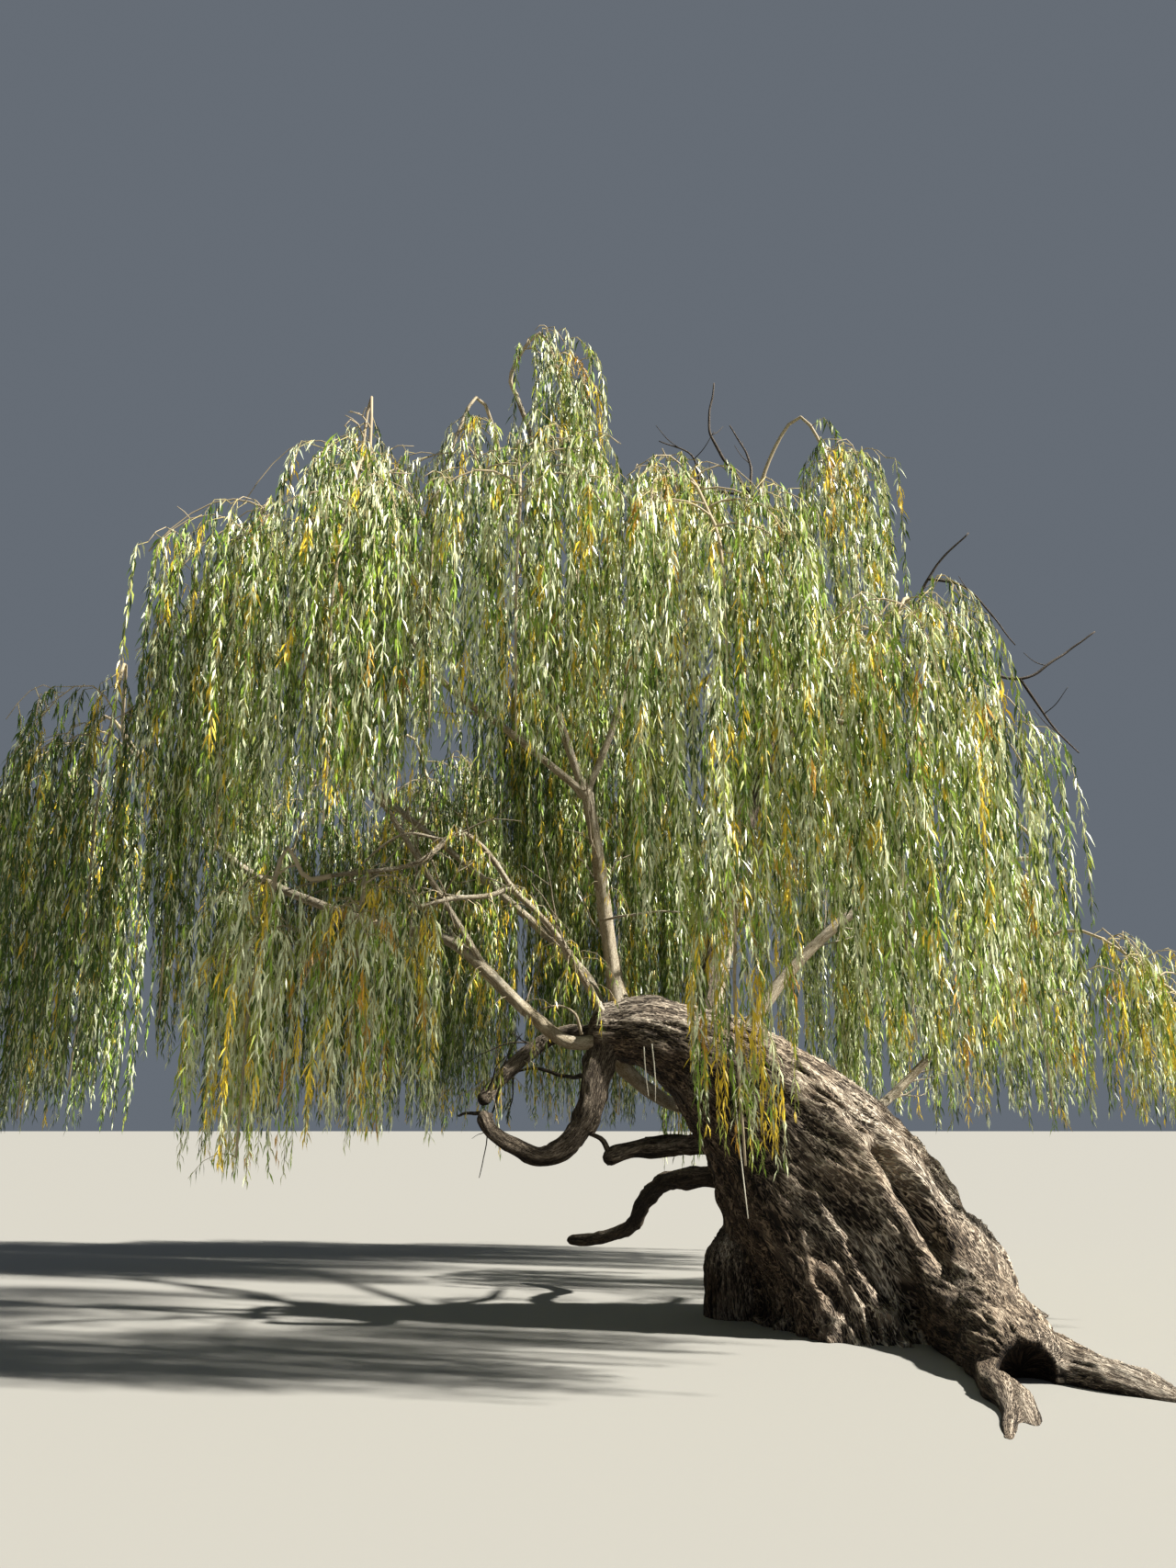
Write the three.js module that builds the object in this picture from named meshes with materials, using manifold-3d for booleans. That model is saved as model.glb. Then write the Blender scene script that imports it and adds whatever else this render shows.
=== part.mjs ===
// An old weeping willow: a heavy trunk that leans to the left from its root flare and ends in a knuckle,
// with boughs that rise from the knuckle and curtains of hanging withies round an open space.
// Millimetres, +Z up, +X to the right of someone looking at the tree, +Y away from them.
// The origin is on the flat cut under the trunk, at ground level.
import * as THREE from 'three';
import { mergeVertices } from 'three/addons/utils/BufferGeometryUtils.js';
import Module from 'manifold-3d';

const wasm = await Module();
wasm.setup();

// Driving dimensions
const GAP = 0.3; // clearance between neighbouring pieces
const SHORTEST_EDGE = 0.05;
const TRUNK_SIDES = 24;
const GROUND_SINK = 200; // how far the trunk's loft runs below the ground before the flat cut
const LIMB_GRADES = [ // a limb's sides and the spacing of its rings, by its radius at the base
  { above: 90, sides: 9, step: 330 },
  { above: 20, sides: 6, step: 520 },
  { above: 0, sides: 4, step: 700 },
];
const ROUGH_FROM = 70; // a limb thicker than this at its base has rough bark
const BALL = { sides: 10, rings: 7 };
const BELOW_GROUND = { half: 10000, depth: 3000 };

const SINK_AT_START = 12; // how far a mass's stem starts inside the bough's tip before it is cut clear
const STEM_RADIUS = [20, 13];
const STEM_RINGS = 5;
const STEM_STEP = 200; // length of the bough's last stretch, which the stem carries on
const STEM_OUT = 160; // how far the stem carries it on before it rises to its crest
const STEM_FAN = 3; // stems that share a tip stand this many times further apart there
const BETWEEN_STEMS = 8;
const HANGS_FROM_RING = 2; // the stem's outer part starts here
const WITHY_RADIUS = [6.5, 6.5];
const HANG_STEP = 150; // steps in which a withy feels its way down
const HANG_BEND = 60; // height over which it bends into the vertical
const TAIL_END = 100; // the stem's own hanging end stops this far above the foot
const WITHIES_PER_MASS = 4;
const FIRST_WITHY = 0.5; // share of the stem at which the first one leaves
const WITHY_TURN = [1.1, 1.8]; // radians by which it turns away from the stem
const WITHY_REACH = [0.8, 1.1]; // shares of the mass's spread
const SHORTER = 0.75; // a withy that has no room is tried again at this share
const SHOULDER = { out: 0.6, up: 0.12 }; // shares of the reach
const HIP_DROP = 0.4;
const UNEVEN_FEET = 250;
const SPRAYS_PER_MASS = 13;
const SPRAY_LENGTH = 1250; // one blade stands for a spray of leaves
const SPRAY_WIDTH = 265;
const SPRAY_THICKNESS = 15;
const SPRAY_SIZES = [0.8, 1.1];
const SPRAY_SPACING = [0.85, 1.15];
const SPRAY_BELOW_FOOT = 350;
const FULL_HEIGHT = 3300; // a mass lower than this has smaller sprays
const SMALLEST_SHARE = 0.5;
const SPRAY_WIDEST = 0.46; // share of its length at which a spray is widest
const SPRAY_TILT = 0.36; // how far a spray's tip swings out for each unit it hangs down
const SHORTEST_SPRAY = 300;
const SHORTEST_REACH = 90;
const BARE_START = 260; // a withy has no spray on its first stretch
const BARE_STEM = 900; // nor has a stem
const BARE_END = 20;
const FIRST_SEED = 11;
const CLEAR_OF_LIMB = 6;
const CLEAR_OF_NEIGHBOUR = 25;
const CELL_FLATTENING = 0.5; // heights count this much when space is shared out, so each mass is tall

const BARK = new THREE.MeshStandardMaterial({ color: 0x6b5a49, roughness: 0.95, metalness: 0 });
const PALE_BARK = new THREE.MeshStandardMaterial({ color: 0xa5947a, roughness: 0.9, metalness: 0 });
const LEAF = new THREE.MeshStandardMaterial({ color: 0x7f9440, roughness: 0.6, metalness: 0 });
const DEAD_WOOD = new THREE.MeshStandardMaterial({ color: 0x5d5148, roughness: 0.95, metalness: 0 });

const at = (x, y, z) => new THREE.Vector3(x, y, z);

// The trunk: centre of each section, its half width in the plane of the lean and its half depth
const TRUNK = [
  { centre: at(-20, 0, -GROUND_SINK), across: 1010, deep: 860 },
  { centre: at(-50, 0, 60), across: 930, deep: 800 },
  { centre: at(-110, 0, 330), across: 865, deep: 730 },
  { centre: at(-240, 5, 640), across: 830, deep: 690 },
  { centre: at(-560, 15, 1100), across: 735, deep: 630 },
  { centre: at(-980, 30, 1610), across: 525, deep: 500 },
  { centre: at(-1380, 30, 1945), across: 380, deep: 370 },
  { centre: at(-1800, 10, 2125), across: 265, deep: 265 },
  { centre: at(-2190, 0, 2150), across: 175, deep: 185 },
];
const TRUNK_RINGS = 15;
const FLUTES = { count: 5, depth: 0.085, turn: 0.6 }; // the long folds of an old trunk

// Roots that stand proud of the trunk's foot; each is fused to it
const ROOTS = [
  { path: [at(300, -250, 520), at(380, -1050, 150), at(340, -1950, 20)], thick: 400, thin: 280 },
  { path: [at(450, -1500, 30), at(780, -1980, 0), at(1080, -2420, -40)], thick: 250, thin: 80 },
  { path: [at(190, -1600, 60), at(90, -2050, 20), at(20, -2500, 0), at(-190, -3150, -30)],
    thick: 120, thin: 60 },
  { path: [at(350, 100, 420), at(950, 250, 20), at(1350, 420, -60)], thick: 330, thin: 80 },
  { path: [at(-100, 200, 420), at(150, 950, 20), at(320, 1400, -60)], thick: 330, thin: 80 },
  { path: [at(-500, 150, 380), at(-900, 850, 0), at(-1150, 1250, -60)], thick: 300, thin: 80 },
];
const BURL = { centre: at(-1095, 385, 190), half: at(265, 250, 500), turn: 0 };
const ROOT_HOLLOW = { centre: at(300, -2050, 60), half: at(155, 300, 165), turn: -0.33 };

// Each bough is one tapering limb: its path from where it leaves its carrier, and its first and last radius
const LIMBS = {
  bough_upright: { thick: 66, thin: 46,
    path: [at(-2000, 20, 2120), at(-2070, -50, 2730), at(-2200, -120, 3700), at(-2270, -150, 4060)] },
  bough_crown_left: { thick: 33, thin: 21,
    path: [at(-2275, -152, 4030), at(-2850, -300, 4480), at(-3440, -500, 4900), at(-3900, -700, 5600)] },
  bough_crown_mid: { thick: 37, thin: 24,
    path: [at(-2280, -150, 4040), at(-2470, -200, 4600), at(-2680, -300, 5450), at(-2860, -350, 6400)] },
  bough_leader: { thick: 26, thin: 20,
    path: [at(-2640, -290, 5300), at(-2580, -420, 6250), at(-2700, -540, 6950), at(-2860, -620, 7420)] },
  bough_crown_right: { thick: 32, thin: 22,
    path: [at(-2268, -146, 4040), at(-2140, -80, 4350), at(-1900, 20, 5100), at(-1650, 0, 6050)] },
  bough_left_slender: { thick: 30, thin: 23,
    path: [at(-2090, -60, 2180), at(-2250, -250, 2460), at(-2530, -500, 2880), at(-2840, -700, 3170)] },
  bough_left_arch: { thick: 22, thin: 16,
    path: [at(-2820, -690, 3155), at(-3040, -860, 3440), at(-3200, -1000, 3510),
      at(-3480, -1200, 3250), at(-4050, -1400, 3120)] },
  bough_left_low: { thick: 20, thin: 16,
    path: [at(-2826, -694, 3160), at(-2990, -760, 3090), at(-3300, -870, 3040), at(-3700, -1000, 2890)] },
  bough_left_thick: { thick: 56, thin: 42,
    path: [at(-2150, -60, 2060), at(-2400, -100, 2050), at(-2726, -80, 2286),
      at(-3253, 80, 2780), at(-3466, 150, 2905), at(-3850, 300, 2980)] },
  bough_left_far: { thick: 41, thin: 24,
    path: [at(-3835, 296, 2978), at(-4510, 450, 3210), at(-5300, 620, 3600), at(-6350, 900, 4640)] },
  bough_left_rise: { thick: 26, thin: 20,
    path: [at(-3060, 20, 2615), at(-3370, 0, 3100), at(-3900, -100, 3920), at(-4650, -300, 4950)] },
  bough_hook_down: { thick: 128, thin: 92,
    path: [at(-2080, -20, 2110), at(-2180, -90, 1830), at(-2235, -150, 1560), at(-2300, -190, 1390)] },
  bough_hook_left: { thick: 84, thin: 50,
    path: [at(-2285, -185, 1420), at(-2430, -240, 1270), at(-2590, -285, 1205),
      at(-2790, -300, 1275), at(-2985, -300, 1395), at(-3045, -285, 1530)] },
  bough_back_low: { thick: 62, thin: 54,
    path: [at(-2140, 110, 2140), at(-2540, 250, 2100), at(-2800, 200, 1915),
      at(-2980, 30, 1720), at(-3060, -170, 1600)] },
  bough_under_arch: { thick: 75, thin: 34,
    path: [at(-2120, 70, 2050), at(-1930, 290, 1830), at(-1660, 480, 1630),
      at(-1430, 760, 1560), at(-1200, 1250, 1700)] },
  stub_cut: { thick: 75, thin: 60,
    path: [at(-1300, 180, 1300), at(-1680, 150, 1250), at(-1890, 100, 1240), at(-2130, 50, 1170)] },
  bough_droop: { thick: 92, thin: 44,
    path: [at(-930, 330, 1060), at(-1380, 560, 1005), at(-1600, 820, 960), at(-1760, 1150, 790),
      at(-1870, 1450, 560), at(-2150, 1750, 420), at(-2430, 2000, 380)] },
  bough_right_rise: { thick: 72, thin: 42,
    path: [at(-1320, 90, 2250), at(-1210, 150, 2980), at(-1000, 200, 3600),
      at(-700, 200, 4430), at(-430, 150, 5450)] },
  bough_top_right: { thick: 38, thin: 22,
    path: [at(-434, 150, 5430), at(-365, 100, 5950), at(-470, 50, 6380), at(-640, 0, 6700)] },
  bough_right_arm: { thick: 30, thin: 20,
    path: [at(-700, 200, 4420), at(-350, 100, 4740), at(60, 0, 4650), at(500, -150, 4450)] },
  bough_veil: { thick: 24, thin: 17,
    path: [at(-1190, 150, 3060), at(-1170, -250, 3350), at(-1160, -700, 3480), at(-1150, -1050, 3450)] },
  bough_right_far: { thick: 58, thin: 26,
    path: [at(-1020, 250, 2080), at(-620, 350, 2600), at(0, 400, 3150),
      at(700, 320, 3500), at(1350, 200, 3560)] },
  bough_right_low: { thick: 52, thin: 26,
    path: [at(-350, 480, 1300), at(70, 620, 1500), at(450, 780, 1780), at(900, 700, 2250)] },
  bough_back_right: { thick: 60, thin: 28,
    path: [at(-1250, 250, 2150), at(-950, 1100, 3100), at(-600, 1700, 3900), at(-300, 2250, 4700)] },
  bough_back_mid: { thick: 60, thin: 28,
    path: [at(-1930, 120, 2200), at(-2100, 800, 3100), at(-2200, 1500, 4100), at(-2250, 2100, 5000)] },
  bough_back_left: { thick: 48, thin: 26,
    path: [at(-2120, 90, 2220), at(-2300, 900, 2700), at(-3300, 1700, 3700), at(-4400, 2150, 4650)] },
};

// Bare dead wood: the first path carries the others, all fused in one node
const DEAD_LIMBS = {
  dead_spur_top: [
    { thick: 24, thin: 7,
      path: [at(-470, 52, 6370), at(-800, 0, 6800), at(-960, 0, 7060),
        at(-1150, 0, 7450), at(-1100, 0, 7940)] },
    { thick: 15, thin: 6, path: [at(-800, 0, 6800), at(-800, 60, 7200), at(-960, 90, 7560)] },
    { thick: 18, thin: 6, path: [at(-800, 0, 6800), at(-1250, -60, 6830), at(-1600, -90, 6700)] },
    { thick: 12, thin: 5, path: [at(-1250, -60, 6830), at(-1330, -90, 7150), at(-1620, -120, 7280)] },
  ],
  dead_spur_right: [
    { thick: 25, thin: 7,
      path: [at(60, 0, 4650), at(500, 150, 5250), at(740, 100, 6050), at(1100, 0, 6450)] },
    { thick: 13, thin: 5, path: [at(740, 100, 6050), at(1000, -60, 5900), at(1380, -100, 5350)] },
    { thick: 21, thin: 7,
      path: [at(560, 140, 5450), at(1430, 0, 5080), at(1770, -30, 5270), at(2090, -60, 5490)] },
    { thick: 14, thin: 6, path: [at(1430, 0, 5080), at(1690, 30, 4650), at(1890, 60, 4440)] },
  ],
};

// Each mass of foliage hangs from one bough's tip: where its stem ends, how high the stem arches,
// how low its withies hang and how far they spread to either side
const MASSES = {
  foliage_top: { bough: 'bough_leader',
    end: at(-2400, -800, 7000), crest: 7960, foot: 6150, spread: 260 },
  foliage_top_left: { bough: 'bough_crown_mid',
    end: at(-3420, -1000, 6450), crest: 7380, foot: 4200, spread: 430 },
  foliage_front_centre: { bough: 'bough_crown_mid',
    end: at(-2700, -2400, 5500), crest: 6500, foot: 3700, spread: 660 },
  foliage_crown_left: { bough: 'bough_crown_left',
    end: at(-4200, -500, 6500), crest: 7450, foot: 3900, spread: 520 },
  foliage_front_left: { bough: 'bough_crown_left',
    end: at(-3900, -2350, 5100), crest: 6250, foot: 3150, spread: 700 },
  foliage_top_mid: { bough: 'bough_crown_right',
    end: at(-1500, -800, 6300), crest: 6850, foot: 4500, spread: 600 },
  foliage_front_right: { bough: 'bough_crown_right',
    end: at(-1400, -2500, 5200), crest: 6250, foot: 2400, spread: 620 },
  foliage_shoulder_left: { bough: 'bough_left_rise',
    end: at(-4950, -1050, 5450), crest: 6400, foot: 3250, spread: 600 },
  foliage_left: { bough: 'bough_left_rise',
    end: at(-5700, 250, 5100), crest: 6150, foot: 1900, spread: 600 },
  foliage_left_tip: { bough: 'bough_left_far',
    end: at(-7150, 1150, 3900), crest: 5100, foot: 1350, spread: 580 },
  foliage_left_far: { bough: 'bough_left_far',
    end: at(-6100, -450, 4300), crest: 5300, foot: 1600, spread: 520 },
  foliage_low_left_front: { bough: 'bough_left_arch',
    end: at(-4430, -1650, 2500), crest: 3300, foot: 1130, spread: 420 },
  foliage_low_left: { bough: 'bough_left_low',
    end: at(-3750, -1850, 2450), crest: 3100, foot: 1330, spread: 400 },
  foliage_top_right: { bough: 'bough_top_right',
    end: at(-80, -450, 6600), crest: 7450, foot: 5050, spread: 520 },
  foliage_front_far_right: { bough: 'bough_right_arm',
    end: at(-250, -2200, 4500), crest: 5250, foot: 1850, spread: 620 },
  foliage_right_front: { bough: 'bough_right_arm',
    end: at(600, -1350, 4000), crest: 4720, foot: 1950, spread: 380 },
  foliage_right_tip: { bough: 'bough_right_low',
    end: at(2330, -450, 2300), crest: 2950, foot: 1450, spread: 520 },
  foliage_right_back: { bough: 'bough_right_far',
    end: at(1550, 1450, 3200), crest: 4000, foot: 1500, spread: 560 },
  foliage_back_right: { bough: 'bough_back_right',
    end: at(450, 3450, 4200), crest: 5300, foot: 1450, spread: 680 },
  foliage_inner_right: { bough: 'bough_back_right',
    end: at(150, 1350, 5900), crest: 6700, foot: 3500, spread: 600 },
  foliage_back: { bough: 'bough_back_mid',
    end: at(-1900, 4050, 4400), crest: 5650, foot: 1350, spread: 830 },
  foliage_inner_back: { bough: 'bough_back_mid',
    end: at(-2400, 1750, 6300), crest: 7150, foot: 3200, spread: 640 },
  foliage_back_left: { bough: 'bough_back_left',
    end: at(-5500, 3000, 3900), crest: 5100, foot: 1350, spread: 700 },
  foliage_back_left_mid: { bough: 'bough_back_left',
    end: at(-3900, 3700, 4300), crest: 5500, foot: 1350, spread: 780 },
  foliage_low_back: { bough: 'bough_under_arch',
    end: at(-900, 2250, 1850), crest: 2500, foot: 1000, spread: 480 },
  foliage_veil: { bough: 'bough_veil',
    end: at(-1250, -1600, 2900), crest: 3500, foot: 1080, spread: 120 },
  foliage_low_right: { bough: 'bough_right_low',
    end: at(1250, -150, 2350), crest: 2850, foot: 1400, spread: 500 },
};

// The same numbers each time for the same seed
function seeded(seed) {
  let state = seed >>> 0;
  return () => {
    state = (state + 0x6d2b79f5) >>> 0;
    let t = Math.imul(state ^ (state >>> 15), state | 1);
    t ^= t + Math.imul(t ^ (t >>> 7), t | 61);
    return ((t ^ (t >>> 14)) >>> 0) / 4294967296;
  };
}

// A closed geometry as a solid
function solid(geometry) {
  geometry.deleteAttribute('normal');
  geometry.deleteAttribute('uv');
  const merged = mergeVertices(geometry, 1e-3);
  return new wasm.Manifold(new wasm.Mesh({
    numProp: 3,
    vertProperties: merged.attributes.position.array,
    triVerts: new Uint32Array(merged.index.array),
  }));
}

const fuse = (solids) => solids.reduce((whole, piece) => whole.add(piece));

// What is left of a solid once loose scraps and the shortest edges are dropped
function largest(shape) {
  return shape.decompose().sort((a, b) => b.volume() - a.volume())[0].simplify(SHORTEST_EDGE);
}

// The direction of a line at each of its points, and a normal carried along it without twist
function frames(points) {
  const last = points.length - 1;
  const tangents = points.map((p, i) =>
    points[Math.min(i + 1, last)].clone().sub(points[Math.max(i - 1, 0)]).normalize());
  const normals = [];
  const start = Math.abs(tangents[0].x) < 0.8 ? at(1, 0, 0) : at(0, 0, 1);
  tangents.forEach((t, i) => {
    const n = (i ? normals[i - 1] : start).clone();
    normals.push(n.addScaledVector(t, -n.dot(t)).normalize());
  });
  return { tangents, normals };
}

// A closed tube through points: a cylinder whose rings are moved to the points.
// shape(ring, angle) gives the half width and half depth there
function tube(points, shape, sides, grow = 0) {
  const last = points.length - 1;
  const geometry = new THREE.CylinderGeometry(1, 1, 1, sides, last);
  const { tangents, normals } = frames(points);
  const position = geometry.attributes.position;
  for (let v = 0; v < position.count; v++) {
    const ring = Math.round((0.5 - position.getY(v)) * last);
    const [x, z] = [position.getX(v), position.getZ(v)];
    const [across, deep] = shape(ring / last, Math.atan2(z, x));
    const side = tangents[ring].clone().cross(normals[ring]);
    const place = points[ring].clone()
      .addScaledVector(normals[ring], x * (across + grow))
      .addScaledVector(side, z * (deep + grow));
    if (ring === 0) place.addScaledVector(tangents[0], -grow);
    if (ring === last) place.addScaledVector(tangents[last], grow);
    position.setXYZ(v, place.x, place.y, place.z);
  }
  return solid(geometry);
}

const mix = (a, b, share) => a + (b - a) * share;

const grade = (spec) => LIMB_GRADES.find(({ above }) => spec.thick > above);

function limbPoints(spec, step = grade(spec).step) {
  const curve = new THREE.CatmullRomCurve3(spec.path, false, 'centripetal');
  const rings = Math.max(2, Math.round(curve.getLength() / step));
  return curve.getSpacedPoints(rings);
}

function limb(spec, grow = 0) {
  const shape = (share) => Array(2).fill(mix(spec.thick, spec.thin, share));
  return tube(limbPoints(spec), shape, grade(spec).sides, grow);
}

// A box that covers everything below the ground
function underground() {
  const { half, depth } = BELOW_GROUND;
  const box = new THREE.BoxGeometry(2 * half, 2 * half, depth);
  box.translate(0, 0, -depth / 2);
  return solid(box);
}

function ball({ centre, half, turn }, grow) {
  const geometry = new THREE.SphereGeometry(1, BALL.sides, BALL.rings);
  geometry.rotateX(Math.PI / 2);
  geometry.scale(half.x + grow, half.y + grow, half.z + grow);
  geometry.rotateZ(turn);
  geometry.translate(...centre);
  return solid(geometry);
}

function trunk(grow = 0) {
  const centres = new THREE.CatmullRomCurve3(TRUNK.map((s) => s.centre), false, 'centripetal');
  const points = centres.getPoints(TRUNK_RINGS);
  const size = (share, key) => {
    const place = share * (TRUNK.length - 1);
    const i = Math.min(TRUNK.length - 2, Math.floor(place));
    return mix(TRUNK[i][key], TRUNK[i + 1][key], place - i);
  };
  const shape = (share, angle) => {
    const fold = 1 + FLUTES.depth * (1 - share) * Math.cos(FLUTES.count * (angle + FLUTES.turn + share));
    return [size(share, 'across') * fold, size(share, 'deep') * fold];
  };
  const column = tube(points, shape, TRUNK_SIDES, grow);
  const body = fuse([column, ball(BURL, grow), ...ROOTS.map((root) => limb(root, grow))]);
  return largest(body.subtract(ball(ROOT_HOLLOW, -grow)).subtract(underground()));
}

// Limbs are made in order; each is cut clear of the trunk and of the limbs before it
function cutClear(shape, others) {
  const box = shape.boundingBox();
  const near = others.filter((other) => {
    const its = other.boundingBox();
    return [0, 1, 2].every((k) => its.min[k] < box.max[k] && its.max[k] > box.min[k]);
  });
  return near.length ? largest(near.reduce((left, other) => left.subtract(other), shape)) : shape;
}

// The stem of a mass: out of the bough's tip, up to the crest and down to its end.
// Stems that share a tip start side by side, in the order in which they turn away
function stemPoints(spec) {
  const boughPath = limbPoints(LIMBS[spec.bough], STEM_STEP);
  const tip = boughPath.at(-1);
  const along = tip.clone().sub(boughPath.at(-2)).normalize();
  const side = along.clone().cross(at(0, 0, 1)).normalize();
  const sharers = Object.values(MASSES).filter(({ bough }) => bough === spec.bough)
    .sort((a, b) => a.end.dot(side) - b.end.dot(side));
  const place = sharers.indexOf(spec) - (sharers.length - 1) / 2;
  const offset = place * (2 * STEM_RADIUS[0] + BETWEEN_STEMS);
  const start = tip.clone().addScaledVector(along, -SINK_AT_START).addScaledVector(side, offset);
  const out = tip.clone().addScaledVector(along, STEM_OUT).addScaledVector(side, offset * STEM_FAN);
  const top = out.clone().lerp(spec.end, 0.5);
  top.z = spec.crest;
  const curve = new THREE.CatmullRomCurve3([start, out, top, spec.end], false, 'centripetal');
  return curve.getSpacedPoints(STEM_RINGS);
}

// The point each mass's space is counted from
function heart(spec, stem) {
  const middle = stem[STEM_RINGS - 2].clone().lerp(spec.end, 0.5);
  return at(middle.x, middle.y, (spec.crest + spec.foot) / 2);
}

const flattened = (p) => at(p.x, p.y, p.z * CELL_FLATTENING);

// How deep a point lies inside a mass's own space: the points nearer to its heart than to any other
function depthInSpace(point, own, hearts) {
  const p = flattened(point);
  return Math.min(...hearts.filter((h) => h !== own).map((h) =>
    (p.distanceToSquared(h) - p.distanceToSquared(own)) / (2 * h.distanceTo(own))));
}

// One spray of leaves: an eight-sided blade from its root to its tip
function spray(root, direction, width, length, share) {
  const across = width.clone().addScaledVector(direction, -width.dot(direction)).normalize();
  const face = direction.clone().cross(across);
  const geometry = new THREE.OctahedronGeometry(1, 0);
  const position = geometry.attributes.position;
  for (let v = 0; v < position.count; v++) {
    const [x, y, z] = [position.getX(v), position.getY(v), position.getZ(v)];
    const down = y > 0.5 ? 1 : y < -0.5 ? 0 : SPRAY_WIDEST;
    const place = root.clone().addScaledVector(direction, length * down)
      .addScaledVector(across, -x * SPRAY_WIDTH * share / 2)
      .addScaledVector(face, z * SPRAY_THICKNESS / 2);
    position.setXYZ(v, place.x, place.y, place.z);
  }
  return solid(geometry);
}

// A withy leaves the stem sideways, arches over and hangs towards the foot of its mass
function withyPoints(start, side, reach, foot, isFree) {
  const shoulder = start.clone().addScaledVector(side, reach * SHOULDER.out)
    .add(at(0, 0, reach * SHOULDER.up));
  const hip = start.clone().addScaledVector(side, reach).add(at(0, 0, -reach * HIP_DROP));
  if (![start, shoulder, hip].every(isFree)) return null;
  const end = hang(hip, foot, isFree);
  return end ? [start, shoulder, hip, hip.clone().add(at(0, 0, -HANG_BEND)), end] : null;
}

// The lowest free point under a point, no lower than the foot
function hang(from, foot, isFree) {
  const low = from.clone();
  while (low.z - HANG_STEP > foot && isFree(low.clone().add(at(0, 0, -HANG_STEP)))) low.z -= HANG_STEP;
  return from.z - low.z > HANG_STEP ? low : null;
}

// A three-sided rod: it tapers down to its hanging stretch, which keeps one radius
function rod(points, [thick, thin], grow = 0) {
  const tapers = points.length - 2;
  const shape = (share) => Array(2).fill(mix(thick, thin, Math.min(1, share * (tapers + 1) / tapers)));
  return tube(points, shape, 3, grow);
}

// A mass of foliage: a stem that hangs down at its end, withies that hang from it to either side,
// and sprays along all of them. What would touch a blocker is left out
function foliage(spec, stem, isFree, blockers, random) {
  const last = stem.length - 1;
  const tail = hang(stem[last], spec.foot + TAIL_END, isFree);
  const spine = tail ? [...stem, stem[last].clone().add(at(0, 0, -HANG_BEND)), tail] : stem;
  const rods = [{ points: spine, bare: BARE_STEM, solid: rod(spine, STEM_RADIUS) }];
  const forward = stem[last].clone().sub(stem[HANGS_FROM_RING]).setZ(0).normalize();
  for (let w = 0; w < WITHIES_PER_MASS; w++) {
    const place = last * mix(FIRST_WITHY, 1, w / (WITHIES_PER_MASS - 1));
    const i = Math.min(last - 1, Math.floor(place));
    const start = stem[i].clone().lerp(stem[i + 1], Math.min(1, place - i));
    const side = forward.clone().applyAxisAngle(at(0, 0, 1), (w % 2 ? 1 : -1) * mix(...WITHY_TURN, random()));
    for (let reach = spec.spread * mix(...WITHY_REACH, random()); reach > SHORTEST_REACH; reach *= SHORTER) {
      const points = withyPoints(start, side, reach, spec.foot + UNEVEN_FEET * random(), isFree);
      const withy = points && { points, bare: BARE_START, solid: rod(points, WITHY_RADIUS) };
      if (withy && blockers.every((blocker) => apart(withy.solid, blocker))) {
        rods.push(withy);
        break;
      }
    }
  }
  const lengths = rods.map(({ points, bare }) => lineThrough(points).getLength() - bare);
  const spacing = lengths.reduce((sum, length) => sum + length) / SPRAYS_PER_MASS;
  const pieces = rods.map((one) => one.solid);
  rods.forEach((one) => {
    const others = [...blockers, ...pieces.filter((piece) => piece !== one.solid)];
    pieces.push(...sprays(one, spacing, spec, isFree, others, random));
  });
  return largest(fuse(pieces));
}

function lineThrough(points) {
  const line = new THREE.CurvePath();
  points.slice(1).forEach((p, i) => line.add(new THREE.LineCurve3(points[i], p)));
  return line;
}

// Two solids keep clear of each other
function apart(a, b) {
  const [one, other] = [a.boundingBox(), b.boundingBox()];
  const boxesMeet = [0, 1, 2].every((k) => one.min[k] < other.max[k] && one.max[k] > other.min[k]);
  return !boxesMeet || a.intersect(b).isEmpty();
}

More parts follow.
